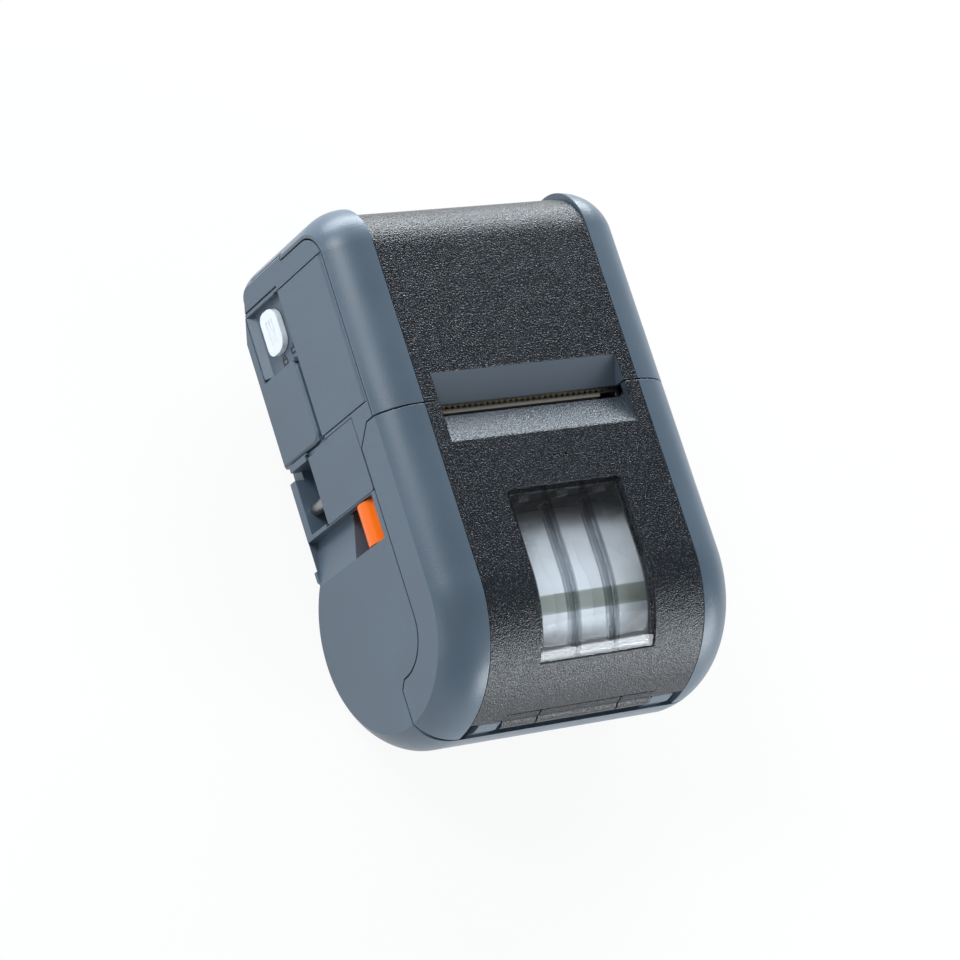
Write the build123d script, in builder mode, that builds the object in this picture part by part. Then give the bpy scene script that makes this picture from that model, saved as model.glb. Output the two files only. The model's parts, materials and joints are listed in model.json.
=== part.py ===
from build123d import *
from math import acos, asin, atan2, cos, degrees, pi, radians, sin, sqrt, tan
import os

# Portable thermal label printer, lying on its back with the front face up.
#
# X runs across the printer, Y along it towards the top end, Z out of the front face.
# The origin is the middle of the bounding box, on the surface that the printer lies on.
# Sizes are in millimetres.

# Overall form
WIDTH = 100.0
LENGTH = 152.0
DEPTH = 67.0
WALL = 2.4
HALF_WIDTH = WIDTH / 2
TOP_Y = LENGTH / 2
BOTTOM_Y = -LENGTH / 2
FRONT_Z = DEPTH
REACH = 2 * LENGTH
SIDE_X = HALF_WIDTH + 10.0

# The round roll compartment at the bottom end
BULGE_RADIUS = DEPTH * 31.0 / 67.0
COVER_RADIUS = DEPTH - BULGE_RADIUS
ROLL_Y = BOTTOM_Y + COVER_RADIUS
ROLL_Z = BULGE_RADIUS
LOW_RADIUS = BULGE_RADIUS - 2.0
BASE_RADIUS = ((COVER_RADIUS - LOW_RADIUS) ** 2 + BULGE_RADIUS**2 - LOW_RADIUS**2) / 4.0

# The straight upper half
BACK_Z = 9.0
TOP_FRONT_RADIUS = 15.0
TOP_BACK_RADIUS = 10.0
PANEL_DROP = 2.0

# Rounded long edges, which meet the flat sides in a crease
EDGE_RADIUS = 16.5
EDGE_RUN = 13.0
EDGE_FADE = 14.0
EDGE_SPARE = 3.0
BACK_BEVEL = 1.5

# Parting lines between the pieces of the case
BUMPER_INNER_X = HALF_WIDTH - EDGE_RUN + 0.1
PANEL_HALF_WIDTH = BUMPER_INNER_X - 0.2
INNER_X = HALF_WIDTH - WALL
PARTING_GAP = 0.5
SPLIT_Y = ROLL_Y + 51.7
SPLIT_CHAMFER_Y = SPLIT_Y - 5.4
SPLIT_CHAMFER_Z = FRONT_Z - 10.8
PARTING_Z = FRONT_Z - 16.9
PARTING_LOW_Z = ROLL_Z + 3.0
PARTING_LOW_CHAMFER = 2.4
PARTING_RADIUS = PARTING_Z - PARTING_LOW_Z - PARTING_LOW_CHAMFER
PARTING_ARC_Y = ROLL_Y - 3.4
BUMPER_LINE_Z = FRONT_Z - 7.2
BUMPER_LINE_Y = TOP_Y - 7.5
BUMPER_LINE_RADIUS = 8.0
BUMPER_NOTCH_Z = BUMPER_LINE_Z - 20.3
BUMPER_NOTCH_Y = BUMPER_LINE_Y + 2.0
BUMPER_END_Z = BACK_Z + 12.0
PANEL_END_Z = BACK_Z + 15.0

# Paper slot
SLOT_HALF_WIDTH = PANEL_HALF_WIDTH - 4.7
SLOT_TOP_Y = SPLIT_Y + 8.9
SLOT_FLOOR_Y = SPLIT_Y + 0.3
SLOT_FLOOR_Z = FRONT_Z - 4.5
SLOT_LIP_Y = SPLIT_Y - 3.2
SLOT_BOTTOM_Y = SPLIT_Y - 12.4
SLOT_SHEET = 1.4
SLOT_SHEET_SIDE = 1.2
SLOT_CORNER = 1.5
TEAR_THICKNESS = 0.6
TEAR_HEIGHT = 3.4
TEAR_PITCH = 2.0
TEAR_TOOTH = 0.9
TEAR_HALF_WIDTH = 2 * int((SLOT_HALF_WIDTH - 0.7) / 2)

# Window in the cover
WINDOW_HALF_WIDTH = PANEL_HALF_WIDTH - 17.1
WINDOW_TOP_Y = ROLL_Y + 23.8
WINDOW_SWEEP = 43.0
WINDOW_LEDGE = 1.4
WINDOW_INSET = 0.5
WINDOW_THICKNESS = 1.1
WINDOW_CLEARANCE = 0.15
WINDOW_CORNER = 2.0
RIB_X = WINDOW_HALF_WIDTH / 3
RIB_WIDTH = 0.9
RIB_HEIGHT = 4.0
TAB_PITCH = 2 * RIB_X
LINER_THICKNESS = 1.2
LINER_HALF_WIDTH = PANEL_HALF_WIDTH - 2.9
LINER_LOW_Z = ROLL_Z + 15.0
DOT_Y = SPLIT_Y - 19.7
DOT_PITCH = 4.05
DOT_RADIUS = 0.45
DOT_DEPTH = 0.5

# Cover hinge
HINGE_Y = BOTTOM_Y + 2.6
HINGE_Z = ROLL_Z + 7.5
PIN_RADIUS = 0.9
PIN_CLEARANCE = 0.1
BARREL_RADIUS = 2.4
TAB_END_X = PANEL_HALF_WIDTH - 3.1
TAB_START_X = TAB_END_X - 7.4
BARREL_END_X = TAB_START_X - 0.4
SWEEP_RADIUS = 5.5
FLAP_EDGE_Z = HINGE_Z + 2.8
SLIT_X = 14.0
SLIT_WIDTH = 0.5
CREASE_Z = HINGE_Z + 5.0

# Platen and its drive
PLATEN_Y = SPLIT_Y - 6.5
PLATEN_Z = FRONT_Z - 10.3
PLATEN_RADIUS = 4.75
SHAFT_RADIUS = 2.0
RUN_CLEARANCE = 0.08
FRAME_START_X = PANEL_HALF_WIDTH - 3.9
FRAME_SHEET = 1.2
ARM_END_X = FRAME_START_X - 0.8
ARM_START_X = ARM_END_X - 2.6
BUSH_RADIUS = 3.2
BUSH_START_X = ARM_START_X - 0.2
BUSH_END_X = FRAME_START_X + FRAME_SHEET + 0.2
PLATEN_HALF_LENGTH = BUSH_START_X - 1.4
GEAR_MODULE = 0.6
RACK_MODULE = 0.5
BACKLASH = 0.12
PLATEN_TEETH = 18
IDLER_TEETH = 24
MOTOR_TEETH = 12
IDLER_Y = SPLIT_Y - 0.2
GEAR_START_X = BUSH_END_X + 1.6
GEAR_WIDTH = 3.2
GEAR_BORE_SPOKES = 4
AXLE_RADIUS = 1.2
AXLE_COLLAR = 0.9
MOTOR_RADIUS = 7.4
MOTOR_LENGTH = 15.1
MOTOR_PLATE = 0.9

# Battery and its lock
BATTERY_LOW_Y = SPLIT_Y + 5.0
BATTERY_STEP_Y = TOP_Y - 33.9
BATTERY_HIGH_Y = TOP_Y - 13.6
BATTERY_FRONT_Z = FRONT_Z - 35.7
BATTERY_STRIP_Z = BACK_Z + 4.4
BATTERY_CORNER = 3.0
BATTERY_GAP = 0.5
BAY_WALL = 1.4
CONTACT_Z = BATTERY_FRONT_Z - 6.7
CONTACT_HALF_WIDTH = 9.0
CONTACT_HALF_HEIGHT = 2.1
CONTACT_POCKET = 2.4
LOCK_RECESS_LOW_Y = BATTERY_STEP_Y + 0.2
LOCK_RECESS_HIGH_Y = BATTERY_HIGH_Y - 0.5
LOCK_RECESS_DEPTH = 2.2
LOCK_BEVEL = 2.0
LOCK_WIDTH = 9.0
LOCK_LENGTH = 13.2
LOCK_HIGH_Y = LOCK_RECESS_HIGH_Y - 2.2
LOCK_Z = (BATTERY_STRIP_Z + BATTERY_FRONT_Z) / 2 + 1.9
LOCK_TOP_CORNER = 4.2
LOCK_LOW_CORNER = 2.8
LOCK_TRAVEL = 3.0
LOCK_STEM_WIDTH = 3.0
LOCK_STEM_LENGTH = 5.0
LOCK_GROOVES = 3
PARTING_GROOVE = 0.6
PARTING_GROOVE_DEPTH = 1.0

# Mechanism frame, standing over the battery bay
FRAME_LOW_Z = BATTERY_FRONT_Z + BATTERY_GAP + BAY_WALL + 3.3
FRAME_HIGH_Z = FRONT_Z - 6.8
FRAME_END_Y = PLATEN_Y + 25.8

# Print head
HEAD_GAP = 0.2
HEAD_HALF_WIDTH = PLATEN_HALF_LENGTH - 0.4
HEAD_THICKNESS = 1.0
HEAD_LOW_Z = PLATEN_Z - 6.9
HEAD_HIGH_Z = PLATEN_Z + 3.3
SINK_THICKNESS = 2.4
HEAD_SPRING_SHEET = 0.4
HEAD_SPRING_HALF_WIDTH = FRAME_START_X - 18.0

# Label roll and its guides
SPOOL_Z = ROLL_Z + 3.0
ROLL_RADIUS = COVER_RADIUS - 10.5
ROLL_HALF_WIDTH = PANEL_HALF_WIDTH - 8.4
CORE_RADIUS = 9.5
CORE_BORE = 8.0
GUIDE_CLEARANCE = 0.35
GUIDE_THICKNESS = 1.6
GUIDE_RADIUS = ROLL_RADIUS - 7.5
HUB_RADIUS = 7.5
HUB_LENGTH = 6.0
GUIDE_TRAVEL = 4.0
RACK_Z = 3.9
RACK_HEIGHT = 1.9
RACK_BACK = 1.8
RACK_REACH = 7.0
PINION_TEETH = 12
PINION_POST_RADIUS = 1.2
RAIL_OFFSET = 7.4

# Release lever on the left side
LEVER_LOW_Y = SPLIT_Y - 31.1
LEVER_HIGH_Y = SPLIT_Y - 18.1
LEVER_BACK_Z = PARTING_Z - 18.7
LEVER_FRONT_Z = PARTING_Z - 2.2
THUMB_RADIUS = 5.4
THUMB_Z = LEVER_FRONT_Z - 7.1
LEVER_TRAVEL = 3.0
LEVER_GUARD = 1.4
SCOOP_DEPTH = 3.5
SCOOP_BACK_Z = BACK_Z + 1.2

# Strap anchors on both sides
STRAP_LOW_Y = SPLIT_Y - 16.8
STRAP_HIGH_Y = BATTERY_LOW_Y - 2.5
STRAP_BACK_Z = BACK_Z + 4.6
STRAP_FRONT_Z = BACK_Z + 14.0
STRAP_DEPTH = 9.0
STRAP_OPEN_Y = BATTERY_LOW_Y - 5.1
STRAP_OPEN_DEPTH = 3.0
STRAP_WALL = 1.5
POST_RADIUS = 2.1
POST_Y = STRAP_LOW_Y + 7.3
POST_X = HALF_WIDTH - 4.0
PLATE_LOW_Y = STRAP_LOW_Y - 1.0
PLATE_HIGH_Y = BATTERY_LOW_Y - 0.9
PLATE_FRONT_Z = PARTING_Z - 0.5
PLATE_THICKNESS = 1.2
PLATE_LIP = 1.6
PLATE_SLOT = 1.1

# Port cover and the sockets behind it
PORT_LOW_Y = BATTERY_LOW_Y - 0.1
PORT_HIGH_Y = TOP_Y - 13.9
PORT_BACK_Z = BATTERY_FRONT_Z + 2.1
PORT_FRONT_Z = FRONT_Z - 8.1
PORT_THICKNESS = 2.0
PORT_GAP = 0.4
PORT_PIN_RADIUS = 0.8
PORT_BARREL_RADIUS = 1.5
PORT_FRAME = 4.2
BOARD_Z = BATTERY_FRONT_Z + 4.7
BOARD_THICKNESS = 1.6
BOARD_LOW_Y = FRAME_END_Y + 3.3
BOARD_HIGH_Y = TOP_Y - 10.0
BOARD_HALF_WIDTH = HALF_WIDTH - 6.0
SOCKET_X = BOARD_HALF_WIDTH + 1.4
DC_Y = TOP_Y - 24.0
DC_RADIUS = 3.2
DC_LIFT = 7.6
USB_Y = TOP_Y - 36.0
USB_HALF_WIDTH = 3.4

# Keys on the top end
KEY_PITCH = 16.0
KEY_Z = (PANEL_END_Z + BUMPER_LINE_Z) / 2 - 1.9
KEY_WIDTH = 11.0
KEY_HEIGHT = 6.4
KEY_PROUD = 0.8
KEY_TRAVEL = 0.6
KEY_CLEARANCE = 0.25
KEY_FLANGE = 0.9
LENS_RADIUS = 1.2
LENS_LIFT = 8.0

# Belt clip screw holes in the back
CLIP_X = 15.0
CLIP_Y = SPLIT_Y - 6.3
CLIP_HOLE_RADIUS = 1.25
CLIP_INSERT_RADIUS = 2.2
CLIP_INSERT_DEPTH = 5.0

MESH_CENTRES = GEAR_MODULE * (PLATEN_TEETH + IDLER_TEETH) / 2
IDLER_Z = PLATEN_Z - sqrt(MESH_CENTRES**2 - (IDLER_Y - PLATEN_Y) ** 2)
MOTOR_Y = IDLER_Y + GEAR_MODULE * (IDLER_TEETH + MOTOR_TEETH) / 2
MOTOR_Z = IDLER_Z
HEAD_FACE_Y = PLATEN_Y + PLATEN_RADIUS + HEAD_GAP


def outline(inset):
    """Side outline of the printer, moved inwards by inset."""
    front = COVER_RADIUS - inset
    back = BULGE_RADIUS - inset
    step = ROLL_Z - BACK_Z - inset
    leave = degrees(acos(step / back))
    top_back = TOP_BACK_RADIUS - inset
    top_front = TOP_FRONT_RADIUS - inset
    low_reach = COVER_RADIUS - LOW_RADIUS
    turn = 180 + degrees(atan2(BASE_RADIUS - ROLL_Z, low_reach))
    with BuildSketch(Plane.YZ) as side:
        with BuildLine():
            Line(
                (ROLL_Y + sqrt(back**2 - step**2), BACK_Z + inset),
                (TOP_Y - TOP_BACK_RADIUS, BACK_Z + inset),
            )
            CenterArc((TOP_Y - TOP_BACK_RADIUS, BACK_Z + TOP_BACK_RADIUS), top_back, -90, 90)
            Line(
                (TOP_Y - inset, BACK_Z + TOP_BACK_RADIUS),
                (TOP_Y - inset, FRONT_Z - TOP_FRONT_RADIUS),
            )
            CenterArc((TOP_Y - TOP_FRONT_RADIUS, FRONT_Z - TOP_FRONT_RADIUS), top_front, 0, 90)
            Line((TOP_Y - TOP_FRONT_RADIUS, FRONT_Z - inset), (ROLL_Y, FRONT_Z - inset))
            CenterArc((ROLL_Y, ROLL_Z), front, 90, 90)
            CenterArc((ROLL_Y - low_reach, ROLL_Z), LOW_RADIUS - inset, 180, turn - 180)
            CenterArc((ROLL_Y, BASE_RADIUS), BASE_RADIUS - inset, turn, 270 - turn)
            CenterArc((ROLL_Y, ROLL_Z), back, -90, leave)
        make_face()
    return side.sketch


def edge_section(place, inset, straight):
    """Sketch of what both long edges lose, in a plane across them whose Y points outwards."""
    radius = EDGE_RADIUS - inset
    run = EDGE_RUN - inset
    flat = HALF_WIDTH - EDGE_RUN
    side = HALF_WIDTH - inset
    crease = radius - sqrt(radius**2 - run**2)
    half = asin(run / radius) / 2
    with BuildSketch(place) as area:
        for hand in (-1, 1):
            with BuildLine():
                if straight:
                    Line((hand * flat, 0), (hand * side, -crease))
                else:
                    ThreePointArc(
                        (hand * flat, 0),
                        (hand * (flat + radius * sin(half)), radius * cos(half) - radius),
                        (hand * side, -crease),
                    )
                Polyline(
                    (hand * side, -crease),
                    (hand * (side + EDGE_SPARE), -crease),
                    (hand * (side + EDGE_SPARE), EDGE_SPARE),
                    (hand * flat, EDGE_SPARE),
                    (hand * flat, 0),
                )
            make_face()
    return area.sketch


def body_form(inset, straight):
    """The whole outer form, moved inwards by inset, with its long edges rounded or cut straight."""
    back = BACK_Z + inset
    corner_y = TOP_Y - TOP_BACK_RADIUS
    front_y = TOP_Y - TOP_FRONT_RADIUS
    rise = EDGE_RADIUS - sqrt(EDGE_RADIUS**2 - EDGE_RUN**2)
    back_corner = Axis((0, corner_y, BACK_Z + TOP_BACK_RADIUS), (-1, 0, 0))
    front_corner = Axis((0, front_y, FRONT_Z - TOP_FRONT_RADIUS), (-1, 0, 0))
    roll_axis = Axis((0, ROLL_Y, ROLL_Z), (1, 0, 0))
    front_plane = Plane(origin=(0, front_y, FRONT_Z - inset), x_dir=(1, 0, 0), z_dir=(0, -1, 0))
    roll_plane = Plane(origin=(0, ROLL_Y, FRONT_Z - inset), x_dir=(1, 0, 0), z_dir=(0, -1, 0))
    end_plane = Plane(
        origin=(0, TOP_Y - inset, BACK_Z + TOP_BACK_RADIUS), x_dir=(1, 0, 0), z_dir=(0, 0, 1)
    )
    back_plane = Plane(origin=(0, corner_y, back), x_dir=(1, 0, 0), z_dir=(0, 1, 0))
    end_height = FRONT_Z - TOP_FRONT_RADIUS - BACK_Z - TOP_BACK_RADIUS
    with BuildPart() as body:
        extrude(outline(inset), amount=HALF_WIDTH - inset, both=True)
        extrude(
            edge_section(roll_plane, inset, straight),
            amount=front_y - ROLL_Y,
            dir=(0, 1, 0),
            mode=Mode.SUBTRACT,
        )
        revolve(
            edge_section(roll_plane, inset, straight),
            axis=roll_axis,
            revolution_arc=225,
            mode=Mode.SUBTRACT,
        )
        revolve(
            edge_section(front_plane, inset, straight),
            axis=front_corner,
            revolution_arc=90,
            mode=Mode.SUBTRACT,
        )
        extrude(
            edge_section(end_plane, inset, straight),
            amount=end_height,
            dir=(0, 0, 1),
            mode=Mode.SUBTRACT,
        )
        revolve(
            edge_section(back_plane, inset, straight),
            axis=back_corner,
            revolution_arc=-90,
            mode=Mode.SUBTRACT,
        )
        fade = Vector(0, -EDGE_FADE, -rise)
        extrude(
            edge_section(back_plane, inset, straight),
            amount=fade.length,
            dir=fade.normalized(),
            mode=Mode.SUBTRACT,
        )
    return body.part


os.makedirs("parts", exist_ok=True)
OUTER = body_form(0, False)
INNER = body_form(WALL, True)


def zone(points):
    """Sketch of a polygon in Y and Z."""
    with BuildSketch(Plane.YZ) as area:
        with BuildLine():
            Polyline(*points, close=True)
        make_face()
    return area.sketch


def cover_zone(gap):
    """Side view of everything that swings with the cover, grown by gap."""
    arc_end = (PARTING_ARC_Y - PARTING_RADIUS, PARTING_Z - PARTING_RADIUS)
    with BuildSketch(Plane.YZ) as area:
        with BuildLine():
            Polyline(
                (SPLIT_Y, REACH),
                (SPLIT_Y, SPLIT_CHAMFER_Z),
                (SPLIT_CHAMFER_Y, PARTING_Z),
                (PARTING_ARC_Y, PARTING_Z),
            )
            CenterArc((PARTING_ARC_Y, PARTING_Z - PARTING_RADIUS), PARTING_RADIUS, 90, 90)
            Polyline(
                arc_end,
                (arc_end[0] - PARTING_LOW_CHAMFER, PARTING_LOW_Z),
                (-REACH, PARTING_LOW_Z),
                (-REACH, REACH),
                (SPLIT_Y, REACH),
            )
        make_face()
        offset(amount=gap, kind=Kind.INTERSECTION)
    return area.sketch


def bumper_zone(gap):
    """Side view of the bumpers round the top end, grown by gap."""
    corner_y = BUMPER_LINE_Y - BUMPER_LINE_RADIUS
    corner_z = BUMPER_LINE_Z - BUMPER_LINE_RADIUS
    with BuildSketch(Plane.YZ) as area:
        with BuildLine():
            Polyline(
                (BUMPER_LINE_Y, corner_z),
                (BUMPER_LINE_Y, BUMPER_NOTCH_Z),
                (BUMPER_NOTCH_Y, BUMPER_NOTCH_Z),
                (BUMPER_NOTCH_Y, BUMPER_END_Z),
                (REACH, BUMPER_END_Z),
                (REACH, REACH),
                (SPLIT_Y, REACH),
                (SPLIT_Y, BUMPER_LINE_Z),
                (corner_y, BUMPER_LINE_Z),
            )
            CenterArc((corner_y, corner_z), BUMPER_LINE_RADIUS, 90, -90)
        make_face()
        offset(amount=gap, kind=Kind.INTERSECTION)
    return area.sketch


def battery_zone(gap):
    """Side view of the battery pack, grown by gap."""
    with BuildSketch(Plane.YZ) as area:
        with BuildLine():
            Polyline(
                (BATTERY_LOW_Y, 0),
                (BATTERY_LOW_Y, BATTERY_FRONT_Z),
                (BATTERY_STEP_Y, BATTERY_FRONT_Z),
                (BATTERY_STEP_Y, BATTERY_STRIP_Z),
                (BATTERY_HIGH_Y, BATTERY_STRIP_Z),
                (BATTERY_HIGH_Y, 0),
                close=True,
            )
        make_face()
        fillet(area.vertices().group_by(Axis.Y)[-1], BATTERY_CORNER)
        offset(amount=gap, kind=Kind.INTERSECTION)
    return area.sketch


def involute(angle):
    """Involute of a pressure angle."""
    return tan(angle) - angle


def gear_face(teeth, module, first_tooth):
    """Sketch of a spur gear with one tooth centred on the first_tooth angle, in radians."""
    pitch_radius = module * teeth / 2
    base_radius = pitch_radius * cos(radians(20))
    root_radius = pitch_radius - 1.2 * module
    tip_radius = pitch_radius + 0.95 * module
    half_tooth = pi / (2 * teeth) - BACKLASH / (2 * pitch_radius)
    radii = (root_radius, pitch_radius - 0.5 * module, pitch_radius, tip_radius)
    points = []
    for tooth in range(teeth):
        middle = first_tooth + 2 * pi * tooth / teeth
        flank = []
        for radius in radii:
            press = acos(min(1, base_radius / radius))
            flank.append((radius, half_tooth + involute(radians(20)) - involute(press)))
        for radius, half in flank:
            points.append((radius * cos(middle - half), radius * sin(middle - half)))
        for radius, half in reversed(flank):
            points.append((radius * cos(middle + half), radius * sin(middle + half)))
    with BuildSketch() as area:
        with BuildLine():
            Polyline(*points, close=True)
        make_face()
    return area.sketch


def mated_tooth(first_tooth, line_angle, teeth, mate_teeth):
    """Angle of a tooth on the mate, so that its gaps take the teeth of the first gear."""
    gap = line_angle + pi - (first_tooth - line_angle) * teeth / mate_teeth
    return gap + pi / mate_teeth


def rack_face(reach, height):
    """Sketch of a rack along X with its pitch line on the origin and teeth towards -Y."""
    pitch = pi * RACK_MODULE
    count = int(reach / pitch)
    foot = pitch / 4 - BACKLASH / 2 + tan(radians(20)) * 0.6 * RACK_MODULE
    head = pitch / 4 - BACKLASH / 2 - tan(radians(20)) * 0.9 * RACK_MODULE
    root = 1.2 * RACK_MODULE
    points = [(-reach, root)]
    for tooth in range(-count, count):
        middle = (tooth + 0.5) * pitch
        points.append((middle - foot, root))
        points.append((middle - head, -0.9 * RACK_MODULE))
        points.append((middle + head, -0.9 * RACK_MODULE))
        points.append((middle + foot, root))
    points.append((reach, root))
    points.append((reach, root + height))
    points.append((-reach, root + height))
    with BuildSketch() as area:
        with BuildLine():
            Polyline(*points, close=True)
        make_face()
    return area.sketch


def block(low, high, mode=Mode.ADD):
    """Box between two opposite corners."""
    size = Vector(*high) - Vector(*low)
    with Locations((Vector(*high) + Vector(*low)) / 2):
        Box(size.X, size.Y, size.Z, mode=mode)


def rod(place, radius, from_x, to_x, mode=Mode.ADD):
    """Round bar along X at a place in Y and Z."""
    with Locations(Location(((from_x + to_x) / 2, place[0], place[1]), (0, 90, 0))):
        Cylinder(radius, to_x - from_x, mode=mode)


def prism(points, from_x, to_x, mode=Mode.ADD):
    """Bar along X with a polygon in Y and Z as its section."""
    placed = zone(points).moved(Location((from_x, 0, 0)))
    extrude(placed, amount=to_x - from_x, dir=(1, 0, 0), mode=mode)


def keep(sketch, half_span=REACH):
    """Keep only what lies in a side view zone."""
    extrude(sketch, amount=half_span, both=True, mode=Mode.INTERSECT)


def cut(sketch, half_span=REACH):
    """Take away what lies in a side view zone."""
    extrude(sketch, amount=half_span, both=True, mode=Mode.SUBTRACT)


def polar(radius, angle):
    """Point at a radius and an angle round the roll axis."""
    return (ROLL_Y + radius * cos(radians(angle)), ROLL_Z + radius * sin(radians(angle)))


def side_span(hand, near_x, far_x):
    """Ends of a span along X on one side, lower first."""
    return sorted((hand * near_x, hand * far_x))


def bevel_bars(low_y, high_y):
    """Bars that take the sharp corners off both back edges."""
    with BuildPart() as bars:
        with BuildSketch(Plane.XZ.offset(-low_y)):
            for hand in (-1, 1):
                with BuildLine():
                    Polyline(
                        (hand * (HALF_WIDTH - BACK_BEVEL - 1), BACK_Z - 1),
                        (hand * (HALF_WIDTH + 1), BACK_Z - 1),
                        (hand * (HALF_WIDTH + 1), BACK_Z + BACK_BEVEL + 1),
                        close=True,
                    )
                make_face()
        extrude(amount=high_y - low_y, dir=(0, 1, 0))
    return bars.part


# Lower case: a tub with the battery bay, strap pockets, lever window and port frame
STRAP_IN_X = HALF_WIDTH - STRAP_DEPTH
lock_middle = LOCK_HIGH_Y - LOCK_LENGTH / 2
port_middle = (PORT_LOW_Y + PORT_HIGH_Y) / 2
port_pin_x = -HALF_WIDTH + PORT_BARREL_RADIUS
port_pin_z = PORT_FRONT_Z - PORT_BARREL_RADIUS
port_pin_place = Location((port_pin_x, port_middle, port_pin_z), (90, 0, 0))
boss_low_z = BATTERY_FRONT_Z + BATTERY_GAP + BAY_WALL / 2
with BuildPart() as main_housing:
    add(OUTER)
    add(INNER, mode=Mode.SUBTRACT)
    cut(cover_zone(PARTING_GAP / 2))
    cut(bumper_zone(PARTING_GAP / 2))
    block((-BUMPER_INNER_X, SPLIT_Y - 5, PARTING_Z), (BUMPER_INNER_X, REACH, REACH), Mode.SUBTRACT)
    block((-BUMPER_INNER_X, BATTERY_HIGH_Y - 2, PANEL_END_Z), (BUMPER_INNER_X, REACH, REACH), Mode.SUBTRACT)
    rod((HINGE_Y, HINGE_Z), SWEEP_RADIUS, -REACH, REACH, Mode.SUBTRACT)
    extrude(battery_zone(BATTERY_GAP + BAY_WALL), amount=INNER_X, both=True)
    for hand in (-1, 1):
        near = side_span(hand, HALF_WIDTH - 1, STRAP_IN_X - STRAP_WALL)
        block(
            (near[0], STRAP_LOW_Y - STRAP_WALL, BACK_Z),
            (near[1], BATTERY_LOW_Y - BATTERY_GAP, STRAP_FRONT_Z + STRAP_WALL),
        )
    block(
        (-HALF_WIDTH + 1, LEVER_LOW_Y - 1, SCOOP_BACK_Z - 1),
        (-HALF_WIDTH + SCOOP_DEPTH + 2, LEVER_HIGH_Y + 1.4, LEVER_BACK_Z),
    )
    block(
        (-HALF_WIDTH + 1, BATTERY_STEP_Y, BATTERY_STRIP_Z),
        (-HALF_WIDTH + LOCK_RECESS_DEPTH + 2.3, BATTERY_HIGH_Y + 1, PORT_BACK_Z + 1),
    )
    block(
        (-HALF_WIDTH + 1, PORT_LOW_Y - 1.2, BATTERY_FRONT_Z + BATTERY_GAP),
        (-HALF_WIDTH + PORT_FRAME, PORT_HIGH_Y + 1.2, PORT_FRONT_Z + 0.4),
    )
    add(OUTER, mode=Mode.INTERSECT)
    cut(battery_zone(BATTERY_GAP))
    for hand in (-1, 1):
        side = side_span(hand, SIDE_X, STRAP_IN_X)
        block(
            (side[0], STRAP_LOW_Y, STRAP_BACK_Z),
            (side[1], STRAP_HIGH_Y, STRAP_FRONT_Z),
            Mode.SUBTRACT,
        )
        notch = side_span(hand, SIDE_X, HALF_WIDTH - STRAP_OPEN_DEPTH)
        block((notch[0], STRAP_OPEN_Y, 0), (notch[1], BATTERY_LOW_Y, STRAP_BACK_Z - 1), Mode.SUBTRACT)
        block((notch[0], STRAP_OPEN_Y, 0), (notch[1], STRAP_HIGH_Y, STRAP_BACK_Z + 1), Mode.SUBTRACT)
        plate = side_span(hand, SIDE_X, HALF_WIDTH - PLATE_THICKNESS)
        block(
            (plate[0], PLATE_LOW_Y, STRAP_FRONT_Z - 1),
            (plate[1], PLATE_HIGH_Y, PLATE_FRONT_Z + 0.3),
            Mode.SUBTRACT,
        )
        block(
            (plate[0], PLATE_HIGH_Y - 0.1, STRAP_FRONT_Z),
            (plate[1], BATTERY_LOW_Y, BATTERY_FRONT_Z + 3),
            Mode.SUBTRACT,
        )
    add(bevel_bars(ROLL_Y + BULGE_RADIUS - 6, STRAP_OPEN_Y), mode=Mode.SUBTRACT)
    block(
        (-SIDE_X, LEVER_LOW_Y, LEVER_BACK_Z),
        (-HALF_WIDTH + 10, LEVER_HIGH_Y, LEVER_FRONT_Z),
        Mode.SUBTRACT,
    )
    with BuildSketch(Plane.XY.offset(SCOOP_BACK_Z)):
        with BuildLine():
            Polyline(
                (-HALF_WIDTH - 0.01, LEVER_LOW_Y),
                (-HALF_WIDTH + SCOOP_DEPTH, LEVER_HIGH_Y),
                (-HALF_WIDTH - 5, LEVER_HIGH_Y),
                (-HALF_WIDTH - 5, LEVER_LOW_Y),
                close=True,
            )
        make_face()
    extrude(amount=LEVER_BACK_Z - SCOOP_BACK_Z + 1, mode=Mode.SUBTRACT)
    recess_floor = -HALF_WIDTH + LOCK_RECESS_DEPTH
    recess_back = BATTERY_STRIP_Z + BATTERY_GAP
    block(
        (-SIDE_X, LOCK_RECESS_LOW_Y, recess_back + LOCK_BEVEL),
        (recess_floor, LOCK_RECESS_HIGH_Y, PORT_BACK_Z + 1),
        Mode.SUBTRACT,
    )
    with BuildSketch(Plane.XZ.offset(-LOCK_RECESS_LOW_Y)):
        with BuildLine():
            Polyline(
                (-HALF_WIDTH - 0.01, recess_back + 0.2),
                (recess_floor, recess_back + LOCK_BEVEL),
                (recess_floor, recess_back + LOCK_BEVEL + 1),
                (-HALF_WIDTH - 1, recess_back + LOCK_BEVEL + 1),
                (-HALF_WIDTH - 1, recess_back + 0.2),
                close=True,
            )
        make_face()
    extrude(amount=LOCK_RECESS_HIGH_Y - LOCK_RECESS_LOW_Y, dir=(0, 1, 0), mode=Mode.SUBTRACT)
    block(
        (-SIDE_X, BATTERY_HIGH_Y + BATTERY_GAP, BATTERY_STRIP_Z),
        (-HALF_WIDTH + PARTING_GROOVE_DEPTH, BATTERY_HIGH_Y + BATTERY_GAP + PARTING_GROOVE, PORT_BACK_Z),
        Mode.SUBTRACT,
    )
    block(
        (
            -SIDE_X,
            lock_middle - LOCK_STEM_LENGTH / 2 - LOCK_TRAVEL - 0.3,
            LOCK_Z - LOCK_STEM_WIDTH / 2 - 0.2,
        ),
        (
            -HALF_WIDTH + 6,
            lock_middle + LOCK_STEM_LENGTH / 2 + 0.3,
            LOCK_Z + LOCK_STEM_WIDTH / 2 + 0.2,
        ),
        Mode.SUBTRACT,
    )
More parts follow.
